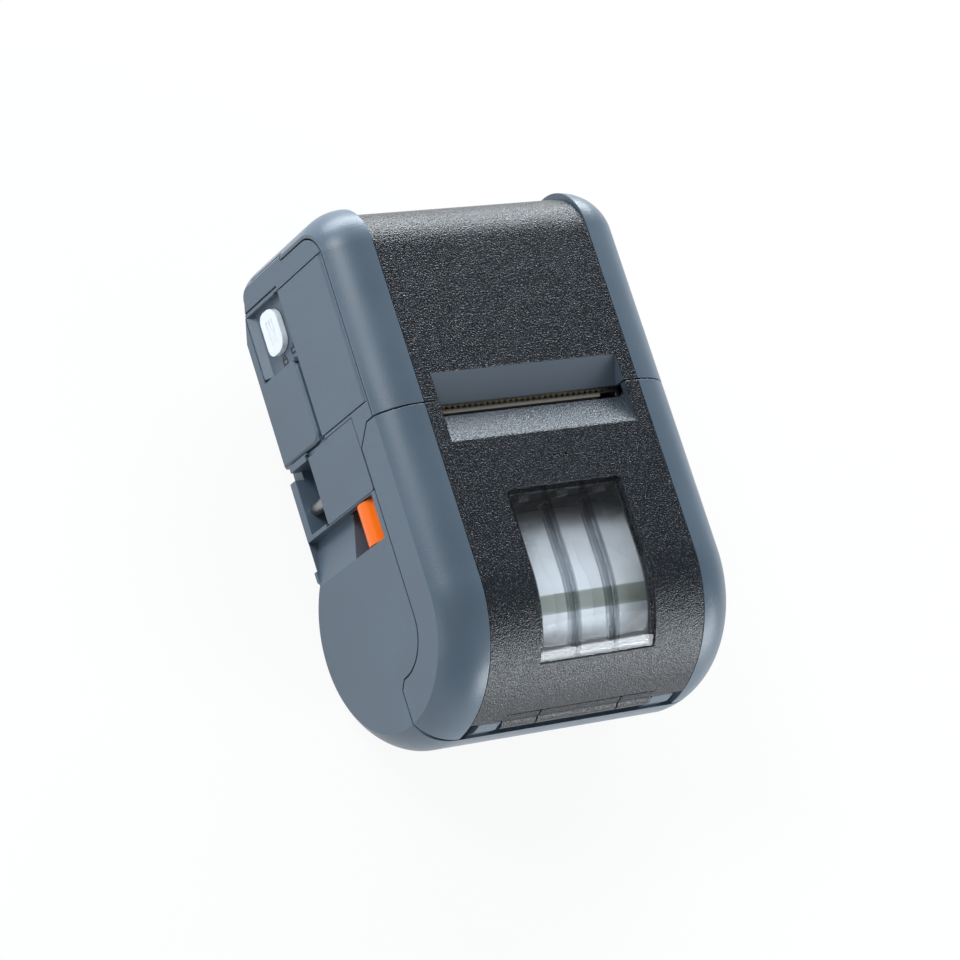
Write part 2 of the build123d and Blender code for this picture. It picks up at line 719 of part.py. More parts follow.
    block(
        (-SIDE_X, PORT_LOW_Y, BATTERY_FRONT_Z),
        (-HALF_WIDTH + PORT_THICKNESS + 0.3, PORT_HIGH_Y, PORT_FRONT_Z),
        Mode.SUBTRACT,
    )
    block(
        (-SIDE_X, PORT_LOW_Y, port_pin_z - PORT_BARREL_RADIUS - 1.0),
        (port_pin_x + PORT_BARREL_RADIUS + 0.9, PORT_HIGH_Y, PORT_FRONT_Z + 0.4),
        Mode.SUBTRACT,
    )
    block(
        (-CONTACT_HALF_WIDTH - 0.05, BATTERY_LOW_Y - CONTACT_POCKET, CONTACT_Z - CONTACT_HALF_HEIGHT - 0.05),
        (CONTACT_HALF_WIDTH + 0.05, BATTERY_LOW_Y, CONTACT_Z + CONTACT_HALF_HEIGHT + 0.05),
        Mode.SUBTRACT,
    )
    with Locations(port_pin_place):
        Cylinder(PORT_PIN_RADIUS + 0.02, PORT_HIGH_Y - PORT_LOW_Y + 1.2, mode=Mode.SUBTRACT)
    with Locations(Location((-HALF_WIDTH + 4, DC_Y, BOARD_Z + DC_LIFT), (0, 90, 0))):
        Cylinder(DC_RADIUS + 1.8, 8, mode=Mode.SUBTRACT)
    block(
        (-SIDE_X, USB_Y - USB_HALF_WIDTH - 1.2, BOARD_Z + 2.2),
        (-HALF_WIDTH + 6, USB_Y + USB_HALF_WIDTH + 1.2, BOARD_Z + 7.4),
        Mode.SUBTRACT,
    )
    for hand in (-1, 1):
        tab = side_span(hand, TAB_START_X, TAB_END_X)
        rod((HINGE_Y, HINGE_Z), BARREL_RADIUS, tab[0], tab[1])
        prism(
            [
                (HINGE_Y - 2.3, HINGE_Z),
                (HINGE_Y + 1.6, HINGE_Z),
                (HINGE_Y + 1.8, ROLL_Z),
                (HINGE_Y - 1.2, ROLL_Z),
            ],
            tab[0],
            tab[1],
        )
    rod((HINGE_Y, HINGE_Z), PIN_RADIUS + 0.02, -REACH, REACH, Mode.SUBTRACT)
    for spot_x in (-FRAME_START_X + 8, FRAME_START_X - 8):
        for spot_y in (BATTERY_LOW_Y + 1.8, FRAME_END_Y - 3):
            with Locations((spot_x, spot_y, (boss_low_z + FRAME_LOW_Z) / 2)):
                Cylinder(2.4, FRAME_LOW_Z - boss_low_z)
    for spot_x in (-BOARD_HALF_WIDTH + 6, BOARD_HALF_WIDTH - 6):
        with Locations((spot_x, BOARD_LOW_Y + 4, (boss_low_z + BOARD_Z) / 2)):
            Cylinder(2.4, BOARD_Z - boss_low_z)
        tail_low_z = BATTERY_STRIP_Z + BATTERY_GAP + BAY_WALL / 2
        with Locations((spot_x, BOARD_HIGH_Y - 5, (tail_low_z + BOARD_Z) / 2)):
            Cylinder(2.4, BOARD_Z - tail_low_z)
    for hand in (-1, 1):
        with Locations((hand * CLIP_X, CLIP_Y, BACK_Z + CLIP_INSERT_DEPTH / 2 + 0.6)):
            Cylinder(CLIP_INSERT_RADIUS + 1.4, CLIP_INSERT_DEPTH + 1.2)
        with Locations((hand * CLIP_X, CLIP_Y, BACK_Z + CLIP_INSERT_DEPTH / 2)):
            Cylinder(CLIP_INSERT_RADIUS, CLIP_INSERT_DEPTH, mode=Mode.SUBTRACT)
    with Locations((0, ROLL_Y, 3.0)):
        Cylinder(PINION_POST_RADIUS, 5.6)
    for rail_y in (ROLL_Y - RAIL_OFFSET, ROLL_Y + RAIL_OFFSET):
        block(
            (-FRAME_START_X - 1, rail_y - 0.6, 2.0),
            (FRAME_START_X + 1, rail_y + 0.6, RACK_Z + RACK_HEIGHT + 0.3),
        )
    add(OUTER, mode=Mode.INTERSECT)

# Top case: textured panel with the paper slot, and the two rubber-edged bumpers
split_line = SPLIT_Y + PARTING_GAP / 2
with BuildPart() as top_panel:
    extrude(outline(0), amount=PANEL_HALF_WIDTH, both=True)
    extrude(outline(WALL), amount=PANEL_HALF_WIDTH + 1, both=True, mode=Mode.SUBTRACT)
    keep(
        zone(
            [
                (split_line + PANEL_DROP, REACH),
                (split_line + PANEL_DROP, FRONT_Z - TOP_FRONT_RADIUS),
                (BATTERY_HIGH_Y - 2.4, FRONT_Z - TOP_FRONT_RADIUS),
                (BATTERY_HIGH_Y - 2.4, PANEL_END_Z + 0.3),
                (REACH, PANEL_END_Z + 0.3),
                (REACH, REACH),
            ]
        )
    )
top_form = top_panel.part.moved(Location((0, -PANEL_DROP, 0)))
slope = (SLOT_TOP_Y - SLOT_FLOOR_Y, FRONT_Z - SLOT_FLOOR_Z)
slope_grade = slope[1] / slope[0]
with BuildPart() as slot_scoop:
    prism(
        [
            (SLOT_FLOOR_Y - 1, SLOT_FLOOR_Z - slope_grade),
            (SLOT_TOP_Y + slope[0], FRONT_Z + slope[1]),
            (SLOT_FLOOR_Y - 1, FRONT_Z + slope[1]),
        ],
        -SLOT_HALF_WIDTH,
        SLOT_HALF_WIDTH,
    )
with BuildPart() as top_panel:
    add(top_form)
    prism(
        [
            (SLOT_FLOOR_Y, SLOT_FLOOR_Z - SLOT_SHEET),
            (SLOT_TOP_Y + 1, FRONT_Z - WALL),
            (SLOT_TOP_Y + 1, FRONT_Z - 0.5),
            (SLOT_FLOOR_Y, FRONT_Z - 0.5),
        ],
        -SLOT_HALF_WIDTH - SLOT_SHEET_SIDE,
        SLOT_HALF_WIDTH + SLOT_SHEET_SIDE,
    )
    add(slot_scoop.part, mode=Mode.SUBTRACT)
    for key in (-1.5, -0.5, 0.5, 1.5):
        with Locations((key * KEY_PITCH, TOP_Y - PANEL_DROP, KEY_Z)):
            Box(
                KEY_WIDTH + 2 * KEY_CLEARANCE,
                8,
                KEY_HEIGHT + 2 * KEY_CLEARANCE,
                mode=Mode.SUBTRACT,
            )
    for lens in (-1.5, -0.5):
        with Locations(Location((lens * KEY_PITCH, TOP_Y - PANEL_DROP, KEY_Z + LENS_LIFT), (90, 0, 0))):
            Cylinder(LENS_RADIUS, 2 * WALL + 2, mode=Mode.SUBTRACT)

bumpers = {}
for name, hand in (("left", -1), ("right", 1)):
    span = side_span(hand, BUMPER_INNER_X, SIDE_X)
    with BuildPart() as top_bumper:
        add(OUTER)
        add(INNER, mode=Mode.SUBTRACT)
        keep(bumper_zone(-PARTING_GAP / 2))
        block((span[0], -REACH, -REACH), (span[1], REACH, REACH), Mode.INTERSECT)
    bumpers["top_bumper_" + name] = top_bumper
    with BuildPart() as cover_bumper:
        add(OUTER)
        add(INNER, mode=Mode.SUBTRACT)
        keep(cover_zone(-PARTING_GAP / 2))
        block((span[0], -REACH, -REACH), (span[1], REACH, REACH), Mode.INTERSECT)
    bumpers["cover_bumper_" + name] = cover_bumper

# Where the window sits in the cover, and the clear sight inside its ledge
window_area = [
    (WINDOW_TOP_Y, REACH),
    (WINDOW_TOP_Y, ROLL_Z),
    (ROLL_Y, ROLL_Z),
    polar(REACH, 90 + WINDOW_SWEEP),
]
sight_top_y = WINDOW_TOP_Y - WINDOW_LEDGE
sight_area = [
    (sight_top_y, REACH),
    (sight_top_y, ROLL_Z),
    (ROLL_Y, ROLL_Z),
    polar(REACH, 90 + WINDOW_SWEEP - 2.5),
]
with BuildPart() as window_hole:
    extrude(outline(-1), amount=WINDOW_HALF_WIDTH, both=True)
    extrude(outline(WINDOW_INSET + WINDOW_THICKNESS), amount=SIDE_X, both=True, mode=Mode.SUBTRACT)
    keep(zone(window_area))
    fillet(window_hole.edges().filter_by(Axis.Z).group_by(Axis.Y)[-1], WINDOW_CORNER)

# Cover: textured panel with the sloping paper lip, window opening and hinge barrels
slope_run = SLOT_LIP_Y - SLOT_BOTTOM_Y
slope_rise = FRONT_Z - SLOT_FLOOR_Z
ramp_grade = slope_rise / slope_run
with BuildPart() as cover_panel:
    extrude(outline(0), amount=PANEL_HALF_WIDTH, both=True)
    extrude(outline(WALL), amount=PANEL_HALF_WIDTH + 1, both=True, mode=Mode.SUBTRACT)
    keep(
        zone(
            [
                (SPLIT_Y - PARTING_GAP / 2, REACH),
                (SPLIT_Y - PARTING_GAP / 2, PARTING_Z),
                (ROLL_Y, PARTING_Z),
                (ROLL_Y, FLAP_EDGE_Z),
                (-REACH, FLAP_EDGE_Z),
                (-REACH, REACH),
            ]
        )
    )
    prism(
        [
            (SLOT_LIP_Y, FRONT_Z - 0.5),
            (SLOT_LIP_Y, SLOT_FLOOR_Z - 1.0),
            (SLOT_LIP_Y - 1.2, SLOT_FLOOR_Z - 1.0),
            (SLOT_BOTTOM_Y - 1, FRONT_Z - WALL),
            (SLOT_BOTTOM_Y - 1, FRONT_Z - 0.5),
        ],
        -SLOT_HALF_WIDTH - SLOT_SHEET_SIDE,
        SLOT_HALF_WIDTH + SLOT_SHEET_SIDE,
    )
    prism(
        [
            (SPLIT_Y + 1, SLOT_FLOOR_Z - (SPLIT_Y + 1 - SLOT_LIP_Y) * ramp_grade),
            (SPLIT_Y + 1, FRONT_Z + slope_rise),
            (SLOT_BOTTOM_Y - slope_run, FRONT_Z + slope_rise),
        ],
        -SLOT_HALF_WIDTH,
        SLOT_HALF_WIDTH,
        Mode.SUBTRACT,
    )
    rod((HINGE_Y, HINGE_Z), BARREL_RADIUS, -BARREL_END_X, BARREL_END_X)
    prism(
        [
            (HINGE_Y - 1.6, HINGE_Z),
            (HINGE_Y + 1.4, HINGE_Z),
            (HINGE_Y + 1.5, FLAP_EDGE_Z + 1),
            (HINGE_Y - 0.9, FLAP_EDGE_Z + 1),
        ],
        -BARREL_END_X,
        BARREL_END_X,
    )
    rod((HINGE_Y, HINGE_Z), PIN_RADIUS + PIN_CLEARANCE, -REACH, REACH, Mode.SUBTRACT)
    for hand in (-1, 1):
        block(
            (hand * SLIT_X - SLIT_WIDTH / 2, BOTTOM_Y - 4, HINGE_Z - 3),
            (hand * SLIT_X + SLIT_WIDTH / 2, BOTTOM_Y + 6, CREASE_Z),
            Mode.SUBTRACT,
        )
    block(
        (-BARREL_END_X, BOTTOM_Y - 4, CREASE_Z - SLIT_WIDTH / 2),
        (BARREL_END_X, BOTTOM_Y + 2.5, CREASE_Z + SLIT_WIDTH / 2),
        Mode.SUBTRACT,
    )
    add(window_hole.part, mode=Mode.SUBTRACT)
    prism(
        sight_area,
        -WINDOW_HALF_WIDTH + WINDOW_LEDGE,
        WINDOW_HALF_WIDTH - WINDOW_LEDGE,
        Mode.SUBTRACT,
    )
    for dot in (-1, 0, 1):
        with Locations((dot * DOT_PITCH, DOT_Y, FRONT_Z)):
            Cylinder(DOT_RADIUS, 2 * DOT_DEPTH, mode=Mode.SUBTRACT)

# One clear curved rib under the window pane
with BuildPart() as rib:
    extrude(outline(WINDOW_INSET + WINDOW_THICKNESS - 0.2), amount=RIB_WIDTH / 2, both=True)
    extrude(
        outline(WINDOW_INSET + WINDOW_THICKNESS + RIB_HEIGHT), amount=RIB_WIDTH, both=True, mode=Mode.SUBTRACT
    )
    keep(
        zone(
            [
                (sight_top_y - 3, REACH),
                (sight_top_y - 3, ROLL_Z),
                (ROLL_Y, ROLL_Z),
                polar(REACH, 90 + WINDOW_SWEEP - 4),
            ]
        )
    )

# Clear window pane with two ribs, curved round the roll compartment
with BuildPart() as window_pane:
    extrude(outline(WINDOW_INSET), amount=WINDOW_HALF_WIDTH - WINDOW_CLEARANCE, both=True)
    extrude(outline(WINDOW_INSET + WINDOW_THICKNESS), amount=SIDE_X, both=True, mode=Mode.SUBTRACT)
    keep(
        zone(
            [
                (WINDOW_TOP_Y - WINDOW_CLEARANCE, REACH),
                (WINDOW_TOP_Y - WINDOW_CLEARANCE, ROLL_Z),
                (ROLL_Y, ROLL_Z),
                polar(REACH, 90 + WINDOW_SWEEP - 0.3),
            ]
        )
    )
    fillet(window_pane.edges().filter_by(Axis.Z).group_by(Axis.Y)[-1], WINDOW_CORNER)
    for rib_x in (-RIB_X, RIB_X):
        with Locations((rib_x, 0, 0)):
            add(rib.part)

# Liner inside the cover, with the window's snap tabs and the arms that hold the platen
liner_front_z = FRONT_Z - WALL
with BuildPart() as cover_liner:
    extrude(outline(WALL), amount=LINER_HALF_WIDTH, both=True)
    extrude(outline(WALL + LINER_THICKNESS), amount=SIDE_X, both=True, mode=Mode.SUBTRACT)
    keep(
        zone(
            [
                (SLOT_BOTTOM_Y - 3, REACH),
                (SLOT_BOTTOM_Y - 3, PARTING_Z),
                (ROLL_Y, PARTING_Z),
                (ROLL_Y, LINER_LOW_Z),
                (-REACH, LINER_LOW_Z),
                (-REACH, REACH),
            ]
        )
    )
    prism(sight_area, -WINDOW_HALF_WIDTH + 0.4, WINDOW_HALF_WIDTH - 0.4, Mode.SUBTRACT)
    for tab in (-1, 0, 1):
        block(
            (tab * TAB_PITCH - 1.8, sight_top_y - 1.9, liner_front_z - LINER_THICKNESS),
            (tab * TAB_PITCH + 1.8, sight_top_y + 0.4, liner_front_z - 0.1),
        )
        block(
            (tab * TAB_PITCH - 1.2, sight_top_y - 1.9, liner_front_z - LINER_THICKNESS),
            (tab * TAB_PITCH + 1.2, sight_top_y - 0.7, liner_front_z + 0.6),
        )
    for arm in (-1, 1):
        span = side_span(arm, ARM_START_X, ARM_END_X)
        prism(
            [
                (SLOT_BOTTOM_Y - 7, liner_front_z - 0.6),
                (SLOT_BOTTOM_Y - 1, liner_front_z - 0.6),
                (PLATEN_Y + 3.6, SLOT_FLOOR_Z - 2.4),
                (PLATEN_Y + 4.2, PLATEN_Z),
                (PLATEN_Y + 2.6, PLATEN_Z - 4.2),
                (PLATEN_Y - 4.6, PLATEN_Z - 4.2),
                (SLOT_BOTTOM_Y - 7, liner_front_z - 5.5),
            ],
            span[0],
            span[1],
        )
    rod((PLATEN_Y, PLATEN_Z), BUSH_RADIUS, -REACH, REACH, Mode.SUBTRACT)

bushes = {}
for name, hand in (("left", -1), ("right", 1)):
    span = side_span(hand, BUSH_START_X, BUSH_END_X)
    with BuildPart() as platen_bush:
        rod((PLATEN_Y, PLATEN_Z), BUSH_RADIUS, span[0], span[1])
        rod((PLATEN_Y, PLATEN_Z), SHAFT_RADIUS + RUN_CLEARANCE, -REACH, REACH, Mode.SUBTRACT)
    bushes["platen_bush_" + name] = platen_bush

# Platen: steel shaft, rubber sleeve and drive gear turning together
line_to_idler = atan2(IDLER_Z - PLATEN_Z, IDLER_Y - PLATEN_Y)
line_to_motor = 0.0
idler_tooth = mated_tooth(line_to_idler, line_to_idler, PLATEN_TEETH, IDLER_TEETH)
motor_tooth = mated_tooth(idler_tooth, line_to_motor, IDLER_TEETH, MOTOR_TEETH)
gear_end_x = GEAR_START_X + GEAR_WIDTH
motor_start_x = FRAME_START_X - MOTOR_PLATE - MOTOR_LENGTH
flat_y = PLATEN_Y + SHAFT_RADIUS
with BuildPart() as platen_shaft:
    rod((PLATEN_Y, PLATEN_Z), SHAFT_RADIUS, -BUSH_END_X - 0.6, gear_end_x + 0.5)
    block(
        (GEAR_START_X, flat_y - 0.5, PLATEN_Z - 3), (gear_end_x + 1, flat_y + 0.5, PLATEN_Z + 3), Mode.SUBTRACT
    )
with BuildPart() as platen_rubber:
    rod((PLATEN_Y, PLATEN_Z), PLATEN_RADIUS, -PLATEN_HALF_LENGTH, PLATEN_HALF_LENGTH)
    rod((PLATEN_Y, PLATEN_Z), SHAFT_RADIUS, -REACH, REACH, Mode.SUBTRACT)
with BuildPart() as platen_gear:
    with BuildSketch(Plane.YZ.offset(GEAR_START_X)):
        with Locations((PLATEN_Y, PLATEN_Z)):
            add(gear_face(PLATEN_TEETH, GEAR_MODULE, line_to_idler))
            Circle(SHAFT_RADIUS + 0.01, mode=Mode.SUBTRACT)
        with Locations((flat_y, PLATEN_Z)):
            Rectangle(0.98, 2.2)
    extrude(amount=GEAR_WIDTH)
with BuildPart() as idler_gear:
    with BuildSketch(Plane.YZ.offset(GEAR_START_X)):
        with Locations((IDLER_Y, IDLER_Z)):
            add(gear_face(IDLER_TEETH, GEAR_MODULE, idler_tooth))
            with PolarLocations(4.2, GEAR_BORE_SPOKES):
                RegularPolygon(1.2, 6, mode=Mode.SUBTRACT)
            Circle(AXLE_RADIUS + RUN_CLEARANCE, mode=Mode.SUBTRACT)
    extrude(amount=GEAR_WIDTH)
with BuildPart() as motor_pinion:
    with BuildSketch(Plane.YZ.offset(GEAR_START_X)):
        with Locations((MOTOR_Y, MOTOR_Z)):
            add(gear_face(MOTOR_TEETH, GEAR_MODULE, motor_tooth))
    extrude(amount=GEAR_WIDTH)
    rod((MOTOR_Y, MOTOR_Z), AXLE_RADIUS, motor_start_x + 14, GEAR_START_X)
with BuildPart() as idler_axle:
    rod((IDLER_Y, IDLER_Z), AXLE_RADIUS, FRAME_START_X, gear_end_x + 1.2)
    collar_x = gear_end_x + 0.25
    rod((IDLER_Y, IDLER_Z), AXLE_RADIUS + AXLE_COLLAR, collar_x, collar_x + AXLE_COLLAR)
with BuildPart() as feed_motor:
    rod((MOTOR_Y, MOTOR_Z), MOTOR_RADIUS, motor_start_x, FRAME_START_X - MOTOR_PLATE)
    block(
        (FRAME_START_X - MOTOR_PLATE, MOTOR_Y - 8.6, MOTOR_Z - 4),
        (FRAME_START_X, MOTOR_Y + 8.6, MOTOR_Z + 4),
    )
    rod((MOTOR_Y, MOTOR_Z), AXLE_RADIUS + RUN_CLEARANCE, motor_start_x + 13.8, SIDE_X, Mode.SUBTRACT)

# Steel frame of the print mechanism: two side plates on a cross plate
with BuildPart() as mech_frame:
    for side in (-1, 1):
        plate = side_span(side, FRAME_START_X, FRAME_START_X + FRAME_SHEET)
        prism(
            [
                (PLATEN_Y - 8, FRAME_LOW_Z),
                (FRAME_END_Y, FRAME_LOW_Z),
                (FRAME_END_Y, FRAME_HIGH_Z - 5.2),
                (FRAME_END_Y - 5, FRAME_HIGH_Z),
                (PLATEN_Y + BUSH_RADIUS + 0.2, FRAME_HIGH_Z),
                (PLATEN_Y + BUSH_RADIUS + 0.2, PLATEN_Z),
                (PLATEN_Y, PLATEN_Z - BUSH_RADIUS - 0.3),
                (PLATEN_Y - 8, PLATEN_Z - BUSH_RADIUS - 0.3),
            ],
            plate[0],
            plate[1],
        )
    rod((PLATEN_Y, PLATEN_Z), BUSH_RADIUS + 0.15, -REACH, REACH, Mode.SUBTRACT)
    block(
        (-FRAME_START_X, PLATEN_Y + 4, FRAME_LOW_Z),
        (FRAME_START_X, FRAME_END_Y, FRAME_LOW_Z + FRAME_SHEET),
    )
    rod((MOTOR_Y, MOTOR_Z), AXLE_RADIUS + 0.6, 0, SIDE_X, Mode.SUBTRACT)
    rod((IDLER_Y, IDLER_Z), AXLE_RADIUS, 0, SIDE_X, Mode.SUBTRACT)

# Thermal head on its aluminium sink, pressed on by a leaf spring
with BuildPart() as print_head:
    block(
        (-HEAD_HALF_WIDTH, HEAD_FACE_Y, HEAD_LOW_Z),
        (HEAD_HALF_WIDTH, HEAD_FACE_Y + HEAD_THICKNESS, HEAD_HIGH_Z),
    )
sink_y = HEAD_FACE_Y + HEAD_THICKNESS
sink_half_width = FRAME_START_X - 0.2
with BuildPart() as head_sink:
    block(
        (-sink_half_width, sink_y, HEAD_LOW_Z - 1),
        (sink_half_width, sink_y + SINK_THICKNESS, HEAD_HIGH_Z - 0.2),
    )
    for fin in range(-3, 4):
        block(
            (fin * 7 - 1.2, sink_y + 1.2, HEAD_LOW_Z - 2),
            (fin * 7 + 1.2, sink_y + SINK_THICKNESS + 1, HEAD_HIGH_Z - 3.4),
            Mode.SUBTRACT,
        )
spring_y = sink_y + SINK_THICKNESS
spring_foot_z = FRAME_LOW_Z + FRAME_SHEET
with BuildPart() as head_spring:
    prism(
        [
            (spring_y, PLATEN_Z + 0.8),
            (spring_y + HEAD_SPRING_SHEET, PLATEN_Z + 0.8),
            (spring_y + 2.6, HEAD_LOW_Z + 0.2),
            (spring_y + 2.6, spring_foot_z + HEAD_SPRING_SHEET),
            (spring_y + 7, spring_foot_z + HEAD_SPRING_SHEET),
            (spring_y + 7, spring_foot_z),
            (spring_y + 2.6 - HEAD_SPRING_SHEET, spring_foot_z),
            (spring_y + 2.6 - HEAD_SPRING_SHEET, HEAD_LOW_Z + 0.2),
        ],
        -HEAD_SPRING_HALF_WIDTH,
        HEAD_SPRING_HALF_WIDTH,
    )

# Serrated tear bar under the lower edge of the slope
tear_plane = Plane(
    origin=(0, SLOT_FLOOR_Y, SLOT_FLOOR_Z - SLOT_SHEET),
    x_dir=(1, 0, 0),
    z_dir=(0, slope[1] - SLOT_SHEET, -slope[0]),
)
with BuildPart() as tear_bar:
    with BuildSketch(tear_plane):
        with BuildLine():
            edge = [(-TEAR_HALF_WIDTH, -TEAR_HEIGHT), (-TEAR_HALF_WIDTH, 0)]
            for tooth in range(int(2 * TEAR_HALF_WIDTH / TEAR_PITCH)):
                tooth_x = -TEAR_HALF_WIDTH + tooth * TEAR_PITCH
                edge.append((tooth_x + TEAR_PITCH / 2, TEAR_TOOTH))
                edge.append((tooth_x + TEAR_PITCH, 0))
            edge.append((TEAR_HALF_WIDTH, -TEAR_HEIGHT))
            Polyline(*edge, close=True)
        make_face()
    extrude(amount=TEAR_THICKNESS)

# Label roll on its cardboard core
with BuildPart() as label_roll:
    rod((ROLL_Y, SPOOL_Z), ROLL_RADIUS, -ROLL_HALF_WIDTH, ROLL_HALF_WIDTH)
    rod((ROLL_Y, SPOOL_Z), CORE_RADIUS, -REACH, REACH, Mode.SUBTRACT)
with BuildPart() as roll_core:
    rod((ROLL_Y, SPOOL_Z), CORE_RADIUS, -ROLL_HALF_WIDTH, ROLL_HALF_WIDTH)
    rod((ROLL_Y, SPOOL_Z), CORE_BORE, -REACH, REACH, Mode.SUBTRACT)

# Two roll guides that slide apart together, joined by racks and one pinion
guide_x = ROLL_HALF_WIDTH + GUIDE_CLEARANCE
pinion_radius = RACK_MODULE * PINION_TEETH / 2
leg_z = RACK_Z + RACK_HEIGHT
guides = {}
for name, hand in (("left", -1), ("right", 1)):
    with BuildPart() as roll_guide:
        disc = side_span(hand, guide_x, guide_x + GUIDE_THICKNESS)
        hub = side_span(hand, guide_x - HUB_LENGTH, guide_x)
        rod((ROLL_Y, SPOOL_Z), GUIDE_RADIUS, disc[0], disc[1])
        prism(
            [
                (ROLL_Y - 6.2, RACK_Z),
                (ROLL_Y + 6.2, RACK_Z),
                (ROLL_Y + 6.2, leg_z + 2),
                (ROLL_Y + 14, SPOOL_Z - 8),
                (ROLL_Y - 14, SPOOL_Z - 8),
                (ROLL_Y - 6.2, leg_z + 2),
            ],
            disc[0],
            disc[1],
        )
        rod((ROLL_Y, SPOOL_Z), HUB_RADIUS, hub[0], hub[1])
        rod((ROLL_Y, SPOOL_Z), HUB_RADIUS - 1.5, -REACH, REACH, Mode.SUBTRACT)
        rack_place = Plane(
            origin=(0, ROLL_Y - hand * pinion_radius, RACK_Z), x_dir=(-hand, 0, 0), z_dir=(0, 0, 1)
        )
        with BuildSketch(rack_place):
            add(rack_face(RACK_REACH, RACK_BACK))
            arm_low = 1.2 * RACK_MODULE
            with BuildLine():
                Polyline(
                    (-guide_x - 0.5, arm_low),
                    (-RACK_REACH, arm_low),
                    (-RACK_REACH, arm_low + RACK_BACK),
                    (-guide_x - 0.5, arm_low + RACK_BACK),
                    close=True,
                )
            make_face()
        extrude(amount=RACK_HEIGHT)
    guides["roll_guide_" + name] = roll_guide
with BuildPart() as guide_pinion:
    with BuildSketch(Plane.XY.offset(RACK_Z)):
        with Locations((0, ROLL_Y)):
            add(gear_face(PINION_TEETH, RACK_MODULE, pi / 2))
            Circle(PINION_POST_RADIUS + RUN_CLEARANCE, mode=Mode.SUBTRACT)
    extrude(amount=RACK_HEIGHT - 0.1)
with BuildPart() as rack_cover:
    block(
        (-guide_x + 0.65, ROLL_Y - RAIL_OFFSET - 2.1, leg_z + 0.3),
        (guide_x - 0.65, ROLL_Y + RAIL_OFFSET + 2.1, leg_z + 1.1),
    )

# Paper guide: wall between the roll compartment and the electronics
wall_inner = ROLL_RADIUS + 1.4
wall_outer = wall_inner + 1.2
wall_top = (ROLL_Y + wall_inner * cos(radians(28)), SPOOL_Z + wall_inner * sin(radians(28)))
wall_side = (ROLL_Y + wall_outer * cos(radians(26)), SPOOL_Z + wall_outer * sin(radians(26)))
with BuildPart() as paper_guide:
    rod((ROLL_Y, SPOOL_Z), wall_outer, -FRAME_START_X + 0.4, FRAME_START_X - 0.4)
    rod((ROLL_Y, SPOOL_Z), wall_inner, -REACH, REACH, Mode.SUBTRACT)
    keep(zone([(ROLL_Y, SPOOL_Z), polar(90, -52), (90, SPOOL_Z), wall_side, wall_top]))
    prism(
        [
            wall_top,
            (PLATEN_Y - 4, PLATEN_Z - 7.5),
            (HEAD_FACE_Y - 1.0, HEAD_LOW_Z + 0.8),
            (HEAD_FACE_Y - 1.0, HEAD_LOW_Z - 0.4),
            (PLATEN_Y - 4, PLATEN_Z - 8.9),
            wall_side,
        ],
        -FRAME_START_X + 0.4,
        FRAME_START_X - 0.4,
    )
sensor_z = wall_side[1] + 0.3
with BuildPart() as paper_sensor:
    block((-4, PLATEN_Y - 13.2, sensor_z - 3.6), (4, PLATEN_Y - 6.2, sensor_z))
    block((-5, PLATEN_Y - 12.2, sensor_z - 3.6), (5, PLATEN_Y - 7.2, sensor_z - 2.6))

# Hinge pin through the case tabs and the cover barrels
with BuildPart() as hinge_pin:
    rod((HINGE_Y, HINGE_Z), PIN_RADIUS, -TAB_END_X, TAB_END_X)

# Release lever: a rounded thumb bar on a slide behind the side wall
lever_middle = (LEVER_LOW_Y + LEVER_HIGH_Y) / 2
lever_length = LEVER_HIGH_Y - LEVER_LOW_Y - 0.6
thumb_x = -HALF_WIDTH + THUMB_RADIUS
guard_back_z = LEVER_BACK_Z + 2.2 + LEVER_TRAVEL - 2.0
with BuildPart() as release_lever:
    with BuildSketch(Plane.XZ.offset(-lever_middle - lever_length / 2)):
        with Locations((thumb_x, THUMB_Z)):
            Circle(THUMB_RADIUS)
        with Locations((thumb_x + 5.0, THUMB_Z)):
            Rectangle(6.0, 4 * THUMB_RADIUS, mode=Mode.SUBTRACT)
    extrude(amount=lever_length)
    block(
        (thumb_x, LEVER_LOW_Y - LEVER_GUARD, guard_back_z),
        (thumb_x + 2.0, LEVER_HIGH_Y + LEVER_GUARD, LEVER_FRONT_Z - 0.4),
    )
    for guard_y in (LEVER_LOW_Y - LEVER_GUARD, LEVER_HIGH_Y):
        block(
            (-HALF_WIDTH + WALL + 0.2, guard_y, guard_back_z),
            (thumb_x + 0.1, guard_y + LEVER_GUARD, LEVER_FRONT_Z - 0.4),
        )
    block(
        (thumb_x - 1.0, lever_middle - lever_length / 2, THUMB_Z - 2),
        (thumb_x + 0.1, lever_middle + lever_length / 2, LEVER_FRONT_Z - 0.4),
    )

